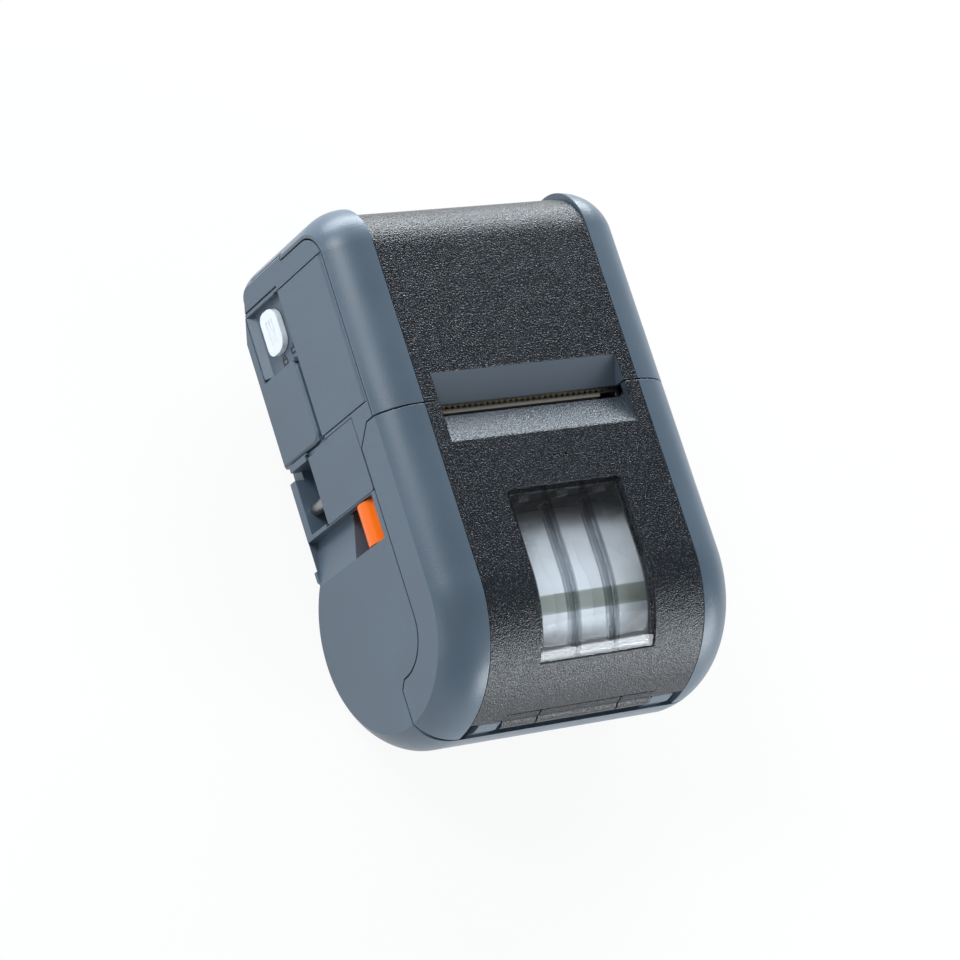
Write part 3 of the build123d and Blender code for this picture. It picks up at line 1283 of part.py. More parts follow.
# Strap anchor posts and the flush plates in front of them
sides = {}
for name, hand in (("left", -1), ("right", 1)):
    with BuildPart() as strap_post:
        with Locations((hand * POST_X, POST_Y, (STRAP_BACK_Z + STRAP_FRONT_Z) / 2)):
            Cylinder(POST_RADIUS, STRAP_FRONT_Z - STRAP_BACK_Z)
    sides["strap_post_" + name] = strap_post
    with BuildPart() as side_plate:
        near = side_span(hand, HALF_WIDTH, HALF_WIDTH - PLATE_THICKNESS)
        block(
            (near[0], PLATE_LOW_Y + 0.2, STRAP_FRONT_Z + 0.2),
            (near[1], PLATE_HIGH_Y - 0.2, PLATE_FRONT_Z),
        )
        fillet(side_plate.edges().filter_by(Axis.X).group_by(Axis.Y)[0], 0.8)
        lip = side_span(hand, HALF_WIDTH - 0.3, HALF_WIDTH + 1)
        block(
            (lip[0], PLATE_HIGH_Y - PLATE_SLOT - 0.2, STRAP_FRONT_Z),
            (lip[1], PLATE_HIGH_Y, BATTERY_FRONT_Z + 4),
            Mode.SUBTRACT,
        )
        deep = side_span(hand, HALF_WIDTH - 3, HALF_WIDTH + 1)
        block(
            (deep[0], PLATE_HIGH_Y - PLATE_SLOT - 0.2, STRAP_FRONT_Z),
            (deep[1], PLATE_HIGH_Y, STRAP_FRONT_Z + 4),
            Mode.SUBTRACT,
        )
    sides["side_plate_" + name] = side_plate

# Battery pack: full width block with a thin tail over the back
with BuildPart() as battery_pack:
    extrude(battery_zone(0), amount=HALF_WIDTH, both=True)
    block((-SIDE_X, -REACH, -5), (SIDE_X, REACH, BACK_Z), Mode.SUBTRACT)
    add(OUTER, mode=Mode.INTERSECT)
    block(
        (-CONTACT_HALF_WIDTH + 1, BATTERY_LOW_Y - 1, CONTACT_Z - 1.6),
        (CONTACT_HALF_WIDTH - 1, BATTERY_LOW_Y + 1.4, BATTERY_FRONT_Z + 1),
        Mode.SUBTRACT,
    )
    add(bevel_bars(BATTERY_LOW_Y - 1, BATTERY_HIGH_Y + 1), mode=Mode.SUBTRACT)
    chamfer(battery_pack.edges().filter_by(Axis.Y).group_by(Axis.Z)[-1], 0.6)
with BuildPart() as battery_contacts:
    block(
        (-CONTACT_HALF_WIDTH, BATTERY_LOW_Y - CONTACT_POCKET + 0.2, CONTACT_Z - CONTACT_HALF_HEIGHT),
        (CONTACT_HALF_WIDTH, BATTERY_LOW_Y - 0.6, CONTACT_Z + CONTACT_HALF_HEIGHT),
    )
    for blade in (-6, -2, 2, 6):
        block(
            (blade - 0.4, BATTERY_LOW_Y - 0.6, CONTACT_Z - 1.1),
            (blade + 0.4, BATTERY_LOW_Y + 1.0, CONTACT_Z + 1.1),
        )

# Battery lock: a pill that slides along Y in the side recess
lock_face_x = -HALF_WIDTH + 0.2
with BuildPart() as battery_lock:
    with BuildSketch(Plane.YZ.offset(lock_face_x)) as pill:
        with Locations((lock_middle, LOCK_Z)):
            Rectangle(LOCK_LENGTH, LOCK_WIDTH)
        fillet(pill.vertices().group_by(Axis.Y)[-1], LOCK_TOP_CORNER)
        fillet(pill.vertices().group_by(Axis.Y)[0], LOCK_LOW_CORNER)
    extrude(amount=LOCK_RECESS_DEPTH - 0.4)
    for groove in range(LOCK_GROOVES):
        groove_z = LOCK_Z + (groove - 1) * 1.5
        block(
            (-SIDE_X, lock_middle - 3.5, groove_z - 0.25),
            (lock_face_x + 0.3, lock_middle + 3.5, groove_z + 0.25),
            Mode.SUBTRACT,
        )
    block(
        (recess_floor - 0.3, lock_middle - LOCK_STEM_LENGTH / 2, LOCK_Z - LOCK_STEM_WIDTH / 2),
        (-HALF_WIDTH + 5.5, lock_middle + LOCK_STEM_LENGTH / 2, LOCK_Z + LOCK_STEM_WIDTH / 2),
    )
    block(
        (-HALF_WIDTH + 4.8, lock_middle - LOCK_STEM_LENGTH / 2 - 1, LOCK_Z - 4),
        (-HALF_WIDTH + 6.4, lock_middle + LOCK_STEM_LENGTH / 2 + 1, LOCK_Z + 4),
    )

# Port cover, hinged along its front edge
port_length = PORT_HIGH_Y - PORT_LOW_Y - 2 * PORT_GAP
with BuildPart() as port_cover:
    block(
        (-HALF_WIDTH, PORT_LOW_Y + PORT_GAP, PORT_BACK_Z),
        (-HALF_WIDTH + PORT_THICKNESS, PORT_HIGH_Y - PORT_GAP, port_pin_z),
    )
    with Locations(port_pin_place):
        Cylinder(PORT_BARREL_RADIUS, port_length)
    with Locations(port_pin_place):
        Cylinder(PORT_PIN_RADIUS + 0.05, port_length + 1, mode=Mode.SUBTRACT)
    block(
        (-HALF_WIDTH + PORT_THICKNESS - 0.7, PORT_LOW_Y + 3, PORT_BACK_Z + 3),
        (-HALF_WIDTH + PORT_THICKNESS + 1, PORT_HIGH_Y - 3, port_pin_z - 4.2),
        Mode.SUBTRACT,
    )
with BuildPart() as port_pin_rod:
    with Locations(port_pin_place):
        Cylinder(PORT_PIN_RADIUS, PORT_HIGH_Y - PORT_LOW_Y + 1.0)

# Main board with its sockets
board_top = BOARD_Z + BOARD_THICKNESS
with BuildPart() as main_board:
    block((-BOARD_HALF_WIDTH, BOARD_LOW_Y, BOARD_Z), (BOARD_HALF_WIDTH, BOARD_HIGH_Y, board_top))
    for chip_x, chip_y, chip_size in ((12, 28, 12), (-10, 30, 8), (28, 22, 9)):
        block(
            (chip_x - chip_size / 2, TOP_Y - chip_y - chip_size / 2, board_top),
            (chip_x + chip_size / 2, TOP_Y - chip_y + chip_size / 2, board_top + 1.2),
        )
with BuildPart() as dc_socket:
    block((-SOCKET_X, DC_Y - 4.5, board_top), (-SOCKET_X + 12.4, DC_Y + 4.5, board_top + 11))
    with Locations(Location((-SOCKET_X, DC_Y, BOARD_Z + DC_LIFT), (0, 90, 0))):
        Cylinder(DC_RADIUS, 16, mode=Mode.SUBTRACT)
    with Locations(Location((-SOCKET_X + 5.9, DC_Y, BOARD_Z + DC_LIFT), (0, 90, 0))):
        Cylinder(0.9, 8)
usb_tongue = board_top + 1.3
with BuildPart() as usb_socket:
    block(
        (-SOCKET_X, USB_Y - USB_HALF_WIDTH - 0.6, board_top),
        (-SOCKET_X + 6, USB_Y + USB_HALF_WIDTH + 0.6, board_top + 3.2),
    )
    block(
        (-SOCKET_X - 1, USB_Y - USB_HALF_WIDTH, board_top + 0.6),
        (-SOCKET_X + 4.4, USB_Y + USB_HALF_WIDTH, board_top + 2.6),
        Mode.SUBTRACT,
    )
    block((-SOCKET_X + 0.4, USB_Y - 2.4, usb_tongue), (-SOCKET_X + 4.4, USB_Y + 2.4, usb_tongue + 0.6))

# Keys and status lights on the top end, and the small board behind them
key_face_y = TOP_Y - PANEL_DROP
key_back_y = key_face_y - WALL
keys = {}
for name, place in (("power", -1.5), ("feed", -0.5), ("wireless", 0.5), ("link", 1.5)):
    key_x = place * KEY_PITCH
    with BuildPart() as end_key:
        block(
            (key_x - KEY_WIDTH / 2, key_back_y - 0.8, KEY_Z - KEY_HEIGHT / 2),
            (key_x + KEY_WIDTH / 2, key_face_y + KEY_PROUD, KEY_Z + KEY_HEIGHT / 2),
        )
        block(
            (
                key_x - KEY_WIDTH / 2 - KEY_FLANGE,
                key_back_y - 1.0,
                KEY_Z - KEY_HEIGHT / 2 - KEY_FLANGE,
            ),
            (
                key_x + KEY_WIDTH / 2 + KEY_FLANGE,
                key_back_y - 0.1,
                KEY_Z + KEY_HEIGHT / 2 + KEY_FLANGE,
            ),
        )
        chamfer(end_key.faces().sort_by(Axis.Y)[-1].edges(), 0.5)
    keys[name + "_key"] = end_key
with BuildPart() as key_board:
    block(
        (-2.2 * KEY_PITCH + 1, key_back_y - 3.0, KEY_Z - 12),
        (2.2 * KEY_PITCH - 1, key_back_y - 1.8, KEY_Z + 10),
    )
lenses = {}
for name, place in (("power", -1.5), ("feed", -0.5)):
    with BuildPart() as lens:
        with Locations(Location((place * KEY_PITCH, key_face_y, KEY_Z + LENS_LIFT), (90, 0, 0))):
            Cylinder(LENS_RADIUS, 2 * (WALL + 1.8))
        block((-SIDE_X, key_face_y - 0.1, 0), (SIDE_X, REACH, REACH), Mode.SUBTRACT)
    lenses[name + "_lens"] = lens

# Brass inserts for a belt clip
inserts = {}
for name, hand in (("left", -1), ("right", 1)):
    with BuildPart() as clip_insert:
        with Locations((hand * CLIP_X, CLIP_Y, BACK_Z + CLIP_INSERT_DEPTH / 2)):
            Cylinder(CLIP_INSERT_RADIUS, CLIP_INSERT_DEPTH)
            Cylinder(CLIP_HOLE_RADIUS, CLIP_INSERT_DEPTH, mode=Mode.SUBTRACT)
    inserts["clip_insert_" + name] = clip_insert

pieces = {
    "main_housing": main_housing,
    "top_panel": top_panel,
    "cover_panel": cover_panel,
    "window_pane": window_pane,
    "cover_liner": cover_liner,
    "platen_shaft": platen_shaft,
    "platen_rubber": platen_rubber,
    "platen_gear": platen_gear,
    "idler_gear": idler_gear,
    "motor_pinion": motor_pinion,
    "idler_axle": idler_axle,
    "feed_motor": feed_motor,
    "mech_frame": mech_frame,
    "print_head": print_head,
    "head_sink": head_sink,
    "head_spring": head_spring,
    "tear_bar": tear_bar,
    "label_roll": label_roll,
    "roll_core": roll_core,
    "guide_pinion": guide_pinion,
    "rack_cover": rack_cover,
    "paper_guide": paper_guide,
    "paper_sensor": paper_sensor,
    "hinge_pin": hinge_pin,
    "release_lever": release_lever,
    "battery_pack": battery_pack,
    "battery_contacts": battery_contacts,
    "battery_lock": battery_lock,
    "port_cover": port_cover,
    "port_pin": port_pin_rod,
    "main_board": main_board,
    "dc_socket": dc_socket,
    "usb_socket": usb_socket,
    "key_board": key_board,
}
for group in (bumpers, bushes, guides, sides, keys, lenses, inserts):
    pieces.update(group)
for label, piece in pieces.items():
    piece.part.label = label
    export_step(piece.part, "parts/" + label + ".step")
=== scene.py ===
import json
import math

import bmesh
import bpy
from mathutils import Matrix, Vector


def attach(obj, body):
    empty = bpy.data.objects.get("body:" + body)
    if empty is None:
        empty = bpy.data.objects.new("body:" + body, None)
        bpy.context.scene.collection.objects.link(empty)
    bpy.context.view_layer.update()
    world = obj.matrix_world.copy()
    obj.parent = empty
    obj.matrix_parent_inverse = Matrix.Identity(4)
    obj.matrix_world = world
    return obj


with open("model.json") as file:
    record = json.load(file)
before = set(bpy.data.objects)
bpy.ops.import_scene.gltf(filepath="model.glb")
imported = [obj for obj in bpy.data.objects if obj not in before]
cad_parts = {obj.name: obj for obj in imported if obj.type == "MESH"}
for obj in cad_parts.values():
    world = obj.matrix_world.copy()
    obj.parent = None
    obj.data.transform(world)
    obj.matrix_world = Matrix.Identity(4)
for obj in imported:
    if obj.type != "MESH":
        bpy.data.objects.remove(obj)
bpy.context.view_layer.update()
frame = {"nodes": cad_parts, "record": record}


# Colours and nodes
def linear(hex_colour):
    """Linear RGBA of an sRGB hex colour such as 66717d."""
    channels = [int(hex_colour[i:i + 2], 16) / 255 for i in (0, 2, 4)]
    return [c / 12.92 if c <= 0.04045 else ((c + 0.055) / 1.055) ** 2.4 for c in channels] + [1.0]


def add_node(tree, kind, settings=None, inputs=None):
    """Adds a node with its settings; inputs are values or output sockets by name or number."""
    made = tree.nodes.new(kind)
    for name, value in (settings or {}).items():
        setattr(made, name, value)
    for name, value in (inputs or {}).items():
        if isinstance(value, bpy.types.NodeSocket):
            tree.links.new(value, made.inputs[name])
        else:
            made.inputs[name].default_value = value
    return made


def new_material(name):
    """An empty material: its node tree, and a Principled shader joined to the output."""
    material = bpy.data.materials.new(name)
    material.use_nodes = True
    tree = material.node_tree
    tree.nodes.clear()
    shader = add_node(tree, "ShaderNodeBsdfPrincipled")
    add_node(tree, "ShaderNodeOutputMaterial", None, {0: shader.outputs[0]})
    return material, tree, shader


def mixed(tree, amount, first, second):
    """Colour between two colours or colour sockets."""
    inputs = {0: amount, 6: first, 7: second}
    return add_node(tree, "ShaderNodeMix", {"data_type": "RGBA"}, inputs).outputs[2]


def ramped(tree, value, low, high, out_low, out_high):
    """A value moved from one range to another and held inside it."""
    inputs = {"Value": value, "From Min": low, "From Max": high, "To Min": out_low, "To Max": out_high}
    return add_node(tree, "ShaderNodeMapRange", None, inputs).outputs[0]


def maths(tree, operation, first, second=0.0):
    """One step of arithmetic on values or value sockets."""
    return add_node(tree, "ShaderNodeMath", {"operation": operation}, {0: first, 1: second}).outputs[0]


def noise(tree, place, size_mm, detail=2.0):
    """Noise whose grains are about size_mm across."""
    inputs = {"Vector": place, "Scale": 1000 / size_mm, "Detail": detail}
    return add_node(tree, "ShaderNodeTexNoise", None, inputs).outputs["Fac"]


def moulded(name, dark, light, rough, grain_mm, bump_mm, edge_mm=0.25, spec=0.5, dust=0.0):
    """Moulded plastic: two close tones, an even eroded grain and softly rounded edges."""
    material, tree, shader = new_material(name)
    place = add_node(tree, "ShaderNodeTexCoord").outputs["Object"]
    grain = noise(tree, place, grain_mm)
    mottle = noise(tree, place, 22, 4.0)
    tone = mixed(tree, mottle, linear(dark), linear(light))
    if dust:
        # Small pale scuffs and lint, a few on every hand's breadth
        specks = ramped(tree, noise(tree, place, 1.6, 6.0), 0.74, 0.80, 0.0, dust)
        tone = mixed(tree, specks, tone, linear("b4bec8"))
    gloss = ramped(tree, mottle, 0.3, 0.7, rough - 0.05, rough + 0.05)
    edge = add_node(tree, "ShaderNodeBevel", {"samples": 4}, {"Radius": edge_mm / 1000})
    bump = add_node(
        tree,
        "ShaderNodeBump",
        None,
        {"Height": grain, "Distance": bump_mm / 1000, "Normal": edge.outputs[0]},
    )
    tree.links.new(tone, shader.inputs["Base Color"])
    tree.links.new(gloss, shader.inputs["Roughness"])
    tree.links.new(bump.outputs[0], shader.inputs["Normal"])
    shader.inputs["Specular IOR Level"].default_value = spec
    return material


def metal(name, colour, rough, streak_mm=0.4):
    """Machined or rolled metal with fine streaks along X."""
    material, tree, shader = new_material(name)
    place = add_node(tree, "ShaderNodeTexCoord").outputs["Object"]
    stretch = add_node(tree, "ShaderNodeMapping", None, {"Vector": place, "Scale": (0.04, 1, 1)})
    streak = noise(tree, stretch.outputs[0], streak_mm)
    gloss = ramped(tree, streak, 0.3, 0.7, rough - 0.08, rough + 0.12)
    edge = add_node(tree, "ShaderNodeBevel", {"samples": 4}, {"Radius": 0.0001})
    bump = add_node(
        tree, "ShaderNodeBump", None, {"Height": streak, "Distance": 0.00001, "Normal": edge.outputs[0]}
    )
    tree.links.new(gloss, shader.inputs["Roughness"])
    tree.links.new(bump.outputs[0], shader.inputs["Normal"])
    shader.inputs["Base Color"].default_value = linear(colour)
    shader.inputs["Metallic"].default_value = 1.0
    return material


# Soft-touch painted ABS: satin, cool gray, with a faint orange peel and a few specks of lint
gray_abs = moulded("soft_touch_gray_abs", "52606d", "5b6a78", 0.36, 0.45, 0.040, 0.30, 0.5, 0.5)
# Lever of glossy moulded ABS: clean bright highlights along its crowned face
orange_abs = moulded("orange_abs", "fa6400", "ff7800", 0.20, 0.8, 0.004, 0.4)
# Polished white ABS of the lock slide, a little blue against the gray
white_abs = moulded("white_abs", "e6eaee", "f4f7fa", 0.35, 0.6, 0.006)
# Inner mouldings of black ABS: plain, a little rougher than the outside
dark_abs = moulded("black_inner_abs", "121418", "191c21", 0.45, 0.5, 0.010)
# Silicone rubber of the platen: matt black, ground to a dull finish
rubber = moulded("platen_silicone", "101012", "17171a", 0.7, 0.3, 0.01)
# Moulded acetal gears: waxy white with soft gloss
gear_acetal = moulded("white_acetal", "d8d8d0", "e6e6e0", 0.35, 0.8, 0.003)
# Solder mask over copper: glossy dark green
board_green = moulded("green_solder_mask", "0f3b22", "14492b", 0.3, 1.0, 0.004, 0.1)
# Core of wound grey board: dull brown fibre
card = moulded("core_board", "8a6b4c", "9a7a58", 0.8, 0.3, 0.02)
# Glazed alumina of the print head: smooth off-white
ceramic = moulded("glazed_alumina", "d9d2c2", "e6e0d2", 0.25, 0.5, 0.002)
# Frosted light pipe: milky, faintly blue
frost = moulded("frosted_acrylic", "c9d3dc", "dbe3ea", 0.5, 0.4, 0.004)
# Fired glass over the heaters: dark brown, wet-looking
glaze = moulded("brown_fired_glass", "2a1c14", "3a2a1e", 0.10, 0.5, 0.001)
# Rolled sheet steel: middle gray with a soft, streaked shine
steel = metal("rolled_steel", "9a9a9c", 0.35)
# Steel of the tear bar: a warm, bronze-coloured glint between the black mouldings
bronze = metal("tear_bar_steel", "8a7c60", 0.3)
# Brass of the inserts, the motor's pinion and the battery contacts: yellow, bright along its edges
brass = metal("turned_brass", "b8944a", 0.3)
# Drawn aluminium of the heat sink: pale gray and a little duller than the steel
aluminium = metal("extruded_aluminium", "b9bcc0", 0.4)

# Panel of black ABS with a coarse eroded grain, 0.5 mm, and painted highlights: pale specks painted into
# its colour stand in for grains that catch a light.
# The paper slot is painted lighter gray as painted light on its ramp and upper slope, lightest on the
# upper slope, which is also matt.
black_grain, panel_tree, panel_shader = new_material("black_grained_abs")
panel_place = add_node(panel_tree, "ShaderNodeTexCoord").outputs["Object"]
panel_axes = add_node(panel_tree, "ShaderNodeSeparateXYZ", None, {0: panel_place}).outputs
grain_fine = noise(panel_tree, panel_place, 0.45, 1.0)
# Painted highlights: a pale speck pattern painted into the panel's colour as glinting grain
painted_glints = ramped(panel_tree, noise(panel_tree, panel_place, 0.43, 0.0), 0.60, 0.72, 0.0, 0.32)
SLOT_Y = (-0.0050, 0.0300)  # the stretch of Y that holds the paper slot
SLOPE_Y = 0.0119  # where the slot's upper slope starts
SUNK_Z = 0.0667  # all that lies below this height is sunk under the panel's face
sunk = maths(panel_tree, "LESS_THAN", panel_axes[2], SUNK_Z)
past_low_end = maths(panel_tree, "GREATER_THAN", panel_axes[1], SLOT_Y[0])
before_high_end = maths(panel_tree, "LESS_THAN", panel_axes[1], SLOT_Y[1])
slot_painted_light = maths(panel_tree, "MULTIPLY", sunk, maths(panel_tree, "MULTIPLY", past_low_end, before_high_end))
slope = maths(panel_tree, "MULTIPLY", slot_painted_light, maths(panel_tree, "GREATER_THAN", panel_axes[1], SLOPE_Y))
panel_tone = mixed(panel_tree, grain_fine, linear("0c0e12"), linear("1b1f25"))
# Painted light: the whole sunk slot painted lighter gray, for the light on its ramp
panel_tone = mixed(panel_tree, slot_painted_light, panel_tone, linear("3c444d"))
# Painted highlights: the pale specks mixed into the colour
panel_tone = mixed(panel_tree, painted_glints, panel_tone, linear("77838f"))
# Painted light: the slot's upper slope painted a lighter gray still
panel_tone = mixed(panel_tree, slope, panel_tone, linear("4c5661"))
panel_gloss = ramped(panel_tree, slope, 0.0, 1.0, 0.28, 0.5)
depth = ramped(panel_tree, slope, 0.0, 1.0, 1.0, 0.1)
panel_edge = add_node(panel_tree, "ShaderNodeBevel", {"samples": 4}, {"Radius": 0.0003})
panel_bump = add_node(
    panel_tree,
    "ShaderNodeBump",
    None,
    {"Strength": depth, "Height": grain_fine, "Distance": 0.00026, "Normal": panel_edge.outputs[0]},
)
panel_tree.links.new(panel_tone, panel_shader.inputs["Base Color"])
panel_tree.links.new(panel_gloss, panel_shader.inputs["Roughness"])
panel_tree.links.new(panel_bump.outputs[0], panel_shader.inputs["Normal"])
panel_shader.inputs["Specular IOR Level"].default_value = 0.45

# Thermal label paper: smooth white face; a gray-green gap between two labels shows the liner
paper, paper_tree, paper_shader = new_material("thermal_label_paper")
paper_place = add_node(paper_tree, "ShaderNodeTexCoord").outputs["Object"]
paper_axes = add_node(paper_tree, "ShaderNodeSeparateXYZ", None, {0: paper_place}).outputs
ROLL_Y, ROLL_Z = -0.040, 0.034  # the roll's axis
GAP_DEGREES = (13, 25)  # the gap between two labels, counted from +Z towards -Y
FACE_HALF = 0.0284  # half the width of the roll's round face, short of its ends
LAYER = 0.0003  # one drawn layer of the roll's ends
roll_y = maths(paper_tree, "SUBTRACT", ROLL_Y, paper_axes[1])
roll_z = maths(paper_tree, "SUBTRACT", paper_axes[2], ROLL_Z)
turn = maths(paper_tree, "ARCTAN2", roll_y, roll_z)
gap_start = maths(paper_tree, "GREATER_THAN", turn, math.radians(GAP_DEGREES[0]))
gap_end = maths(paper_tree, "LESS_THAN", turn, math.radians(GAP_DEGREES[1]))
gap_band = maths(paper_tree, "MULTIPLY", gap_start, gap_end)
face_side = maths(paper_tree, "LESS_THAN", maths(paper_tree, "ABSOLUTE", paper_axes[0]), FACE_HALF)
gap_band = maths(paper_tree, "MULTIPLY", gap_band, face_side)
roll_radius = maths(
    paper_tree,
    "SQRT",
    maths(paper_tree, "ADD", maths(paper_tree, "POWER", roll_y, 2), maths(paper_tree, "POWER", roll_z, 2)),
)
# Layers on the roll's ends, 0.3 mm apart: coarser than real paper, so that they show
layers = maths(paper_tree, "SINE", maths(paper_tree, "MULTIPLY", roll_radius, 2 * math.pi / LAYER))
paper_fibre = noise(paper_tree, paper_place, 0.2, 2.0)
end_face = maths(paper_tree, "SUBTRACT", 1.0, face_side)
layer_tone = mixed(paper_tree, ramped(paper_tree, layers, -1, 1, 0, 1), linear("cfd4d8"), linear("eef1f4"))
paper_tone = mixed(paper_tree, paper_fibre, linear("dde0e3"), linear("e6e9ec"))
paper_tone = mixed(paper_tree, end_face, paper_tone, layer_tone)
paper_tone = mixed(paper_tree, gap_band, paper_tone, linear("8f958c"))
paper_height = maths(paper_tree, "ADD", paper_fibre, maths(paper_tree, "MULTIPLY", layers, end_face))
paper_bump = add_node(paper_tree, "ShaderNodeBump", None, {"Height": paper_height, "Distance": 0.00001})
paper_tree.links.new(paper_tone, paper_shader.inputs["Base Color"])
paper_tree.links.new(paper_bump.outputs[0], paper_shader.inputs["Normal"])
paper_shader.inputs["Roughness"].default_value = 0.6

# Clear polycarbonate: a thin polished sheet with sharp highlights. The two ribs inside it are painted as
# gray bands, painted shade for how dark they look and for the shadow they cast on the roll. It casts
# hardly any shadow, so that the white roll behind it stays bright.
clear_pc, clear_tree, clear_shader = new_material("clear_polycarbonate")
RIB_X = 0.0066  # middle of each rib inside the window
clear_place = add_node(clear_tree, "ShaderNodeTexCoord").outputs["Object"]
clear_axes = add_node(clear_tree, "ShaderNodeSeparateXYZ", None, {0: clear_place}).outputs
from_middle = maths(clear_tree, "ABSOLUTE", clear_axes[0])
from_rib = maths(clear_tree, "ABSOLUTE", maths(clear_tree, "SUBTRACT", from_middle, RIB_X))
rib_painted_shade = ramped(clear_tree, from_rib, 0.0008, 0.0010, 1.0, 0.0)
# Painted shade: the clear ribs tinted gray
clear_tone = mixed(clear_tree, rib_painted_shade, linear("f4f7fa"), linear("7d858e"))
shadow_ray = add_node(clear_tree, "ShaderNodeLightPath").outputs["Is Shadow Ray"]
clear_alpha = ramped(clear_tree, shadow_ray, 0.0, 1.0, 0.8, 0.08)
clear_tree.links.new(clear_tone, clear_shader.inputs["Base Color"])
clear_tree.links.new(clear_alpha, clear_shader.inputs["Alpha"])
clear_shader.inputs["Roughness"].default_value = 0.0
clear_shader.inputs["IOR"].default_value = 1.45
clear_shader.inputs["Transmission Weight"].default_value = 1.0

finish = {
    "gray_case": gray_abs,
    "black_panel": black_grain,
    "orange_lever": orange_abs,
    "white_pill": white_abs,
    "clear_window": clear_pc,
    "label_paper": paper,
    "core_card": card,
    "dark_inner": dark_abs,
    "black_rubber": rubber,
    "steel": steel,
    "bronze_steel": bronze,
    "sink_aluminium": aluminium,
    "insert_brass": brass,
    "white_gear": gear_acetal,
    "board_green": board_green,
    "key_gray": gray_abs,
    "head_ceramic": ceramic,
    "lens_frost": frost,
}
slot_of = {part["node"]: part["material_slot"] for part in frame["record"]["subparts"]}
for name, shown in frame["nodes"].items():
    for place in shown.material_slots:
        place.material = finish[slot_of[name]]
    if not shown.material_slots:
        shown.data.materials.append(finish[slot_of[name]])

# Small pieces of the scene's own, in millimetres on the solids that carry them
MM = 0.001
FACE_KEYS = (math.pi / 2, 0, 0)  # a flat form turned to face +Y, its top towards +Z
FACE_SIDE = (0, -math.pi / 2, 0)  # a flat form turned to face -X, its top towards +Y


def start(kind, name, place, **sizes):
    """Adds a primitive at a place given in millimetres and names it."""
    bpy.ops.object.select_all(action="DESELECT")
    kind(location=[value * MM for value in place], **sizes)
    piece = bpy.context.object
    piece.name = name
    return piece


def settle(piece, body, material):
    """Puts the piece's place in its mesh, gives it its finish and lets it ride on a body."""
    bpy.ops.object.select_all(action="DESELECT")
    piece.select_set(True)
    bpy.context.view_layer.objects.active = piece
    bpy.ops.object.transform_apply(location=True, rotation=True, scale=True)
    bpy.ops.object.shade_smooth_by_angle(angle=math.radians(35))
    piece.data.materials.clear()
    piece.data.materials.append(material)
    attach(piece, body)


def rounded(piece, width_mm, steps=2):
    """Rounds every edge of a piece with an applied bevel modifier."""
    bpy.ops.object.select_all(action="DESELECT")
    piece.select_set(True)
    bpy.context.view_layer.objects.active = piece
    bpy.ops.object.transform_apply(location=False, rotation=True, scale=True)
    soften = piece.modifiers.new("soften", "BEVEL")
    soften.width = width_mm * MM
    soften.segments = steps
    soften.limit_method = "ANGLE"
    bpy.ops.object.modifier_apply(modifier="soften")


def bar(name, place, size, turn=(0, 0, 0), edge_mm=0.06):
    """A small rounded bar."""
    piece = start(bpy.ops.mesh.primitive_cube_add, name, place, size=MM, rotation=turn)
    piece.scale = size
    rounded(piece, edge_mm)
    return piece


def frame_bar(name, place, size, wall_mm, turn=(0, 0, 0)):
    """A bar with its front face inset and pushed in, as a sunk pictogram's body."""
    piece = bar(name, place, size, turn, 0.05)
    bpy.ops.object.mode_set(mode="EDIT")
    bpy.ops.mesh.select_all(action="DESELECT")
    mesh = bmesh.from_edit_mesh(piece.data)
    front = max((f for f in mesh.faces if f.normal.x < -0.9), key=lambda face: face.calc_area())
    front.select = True
    bmesh.update_edit_mesh(piece.data)
    bpy.ops.mesh.inset(thickness=wall_mm * MM, depth=0)
    bpy.ops.transform.translate(value=(0.15 * MM, 0, 0))
    bpy.ops.object.mode_set(mode="OBJECT")
    return piece


def arc(name, place, radius, wire, turn, middle=90, spread=180):
    """A wire ring, or the part of it that lies within spread degrees of its middle angle."""
    piece = start(
        bpy.ops.mesh.primitive_torus_add,
        name,
        place,
        rotation=turn,
        major_radius=radius * MM,
        minor_radius=wire * MM,
        major_segments=48,
        minor_segments=10,
    )
    if spread < 180:
        bpy.ops.object.mode_set(mode="EDIT")
        bpy.ops.mesh.select_all(action="DESELECT")
        mesh = bmesh.from_edit_mesh(piece.data)
        for face in mesh.faces:
            middle_point = face.calc_center_median()
            angle = math.degrees(math.atan2(middle_point.y, middle_point.x)) - middle
            face.select = abs((angle + 180) % 360 - 180) > spread
        bmesh.update_edit_mesh(piece.data)
        bpy.ops.mesh.delete(type="FACE")
        bpy.ops.mesh.select_all(action="SELECT")
        bpy.ops.mesh.fill_holes(sides=0)
        bpy.ops.mesh.select_all(action="SELECT")
        bpy.ops.mesh.normals_make_consistent(inside=False)
        bpy.ops.object.mode_set(mode="OBJECT")
    return piece


def joined(name, pieces):
    """One piece made of several."""
    bpy.ops.object.select_all(action="DESELECT")
    for piece in pieces:
        piece.select_set(True)
    bpy.context.view_layer.objects.active = pieces[0]
    bpy.ops.object.join()
    pieces[0].name = name
    return pieces[0]


# Two padlock pictograms in the lock's recess: shut below the slide, open beside its low end.
# They stand 0.14 mm off the floor, because the slide passes 0.2 mm above it.
recess_x, mark_height = -47.79, 0.30
for name, y, z, aside in (("shut_mark", 43.9, 23.7, 0.0), ("open_mark", 45.2, 29.3, 1.1)):
    body = frame_bar("mark_body", (recess_x, y, z), (mark_height, 1.9, 2.5), 0.45)
    shackle = arc("mark_shackle", (recess_x, y + 1.0, z + aside), 0.75, 0.22, FACE_SIDE, 90, 95)
    shackle.scale = (1, 1, 0.6)
    settle(joined(name, [body, shackle]), "housing", dark_abs)

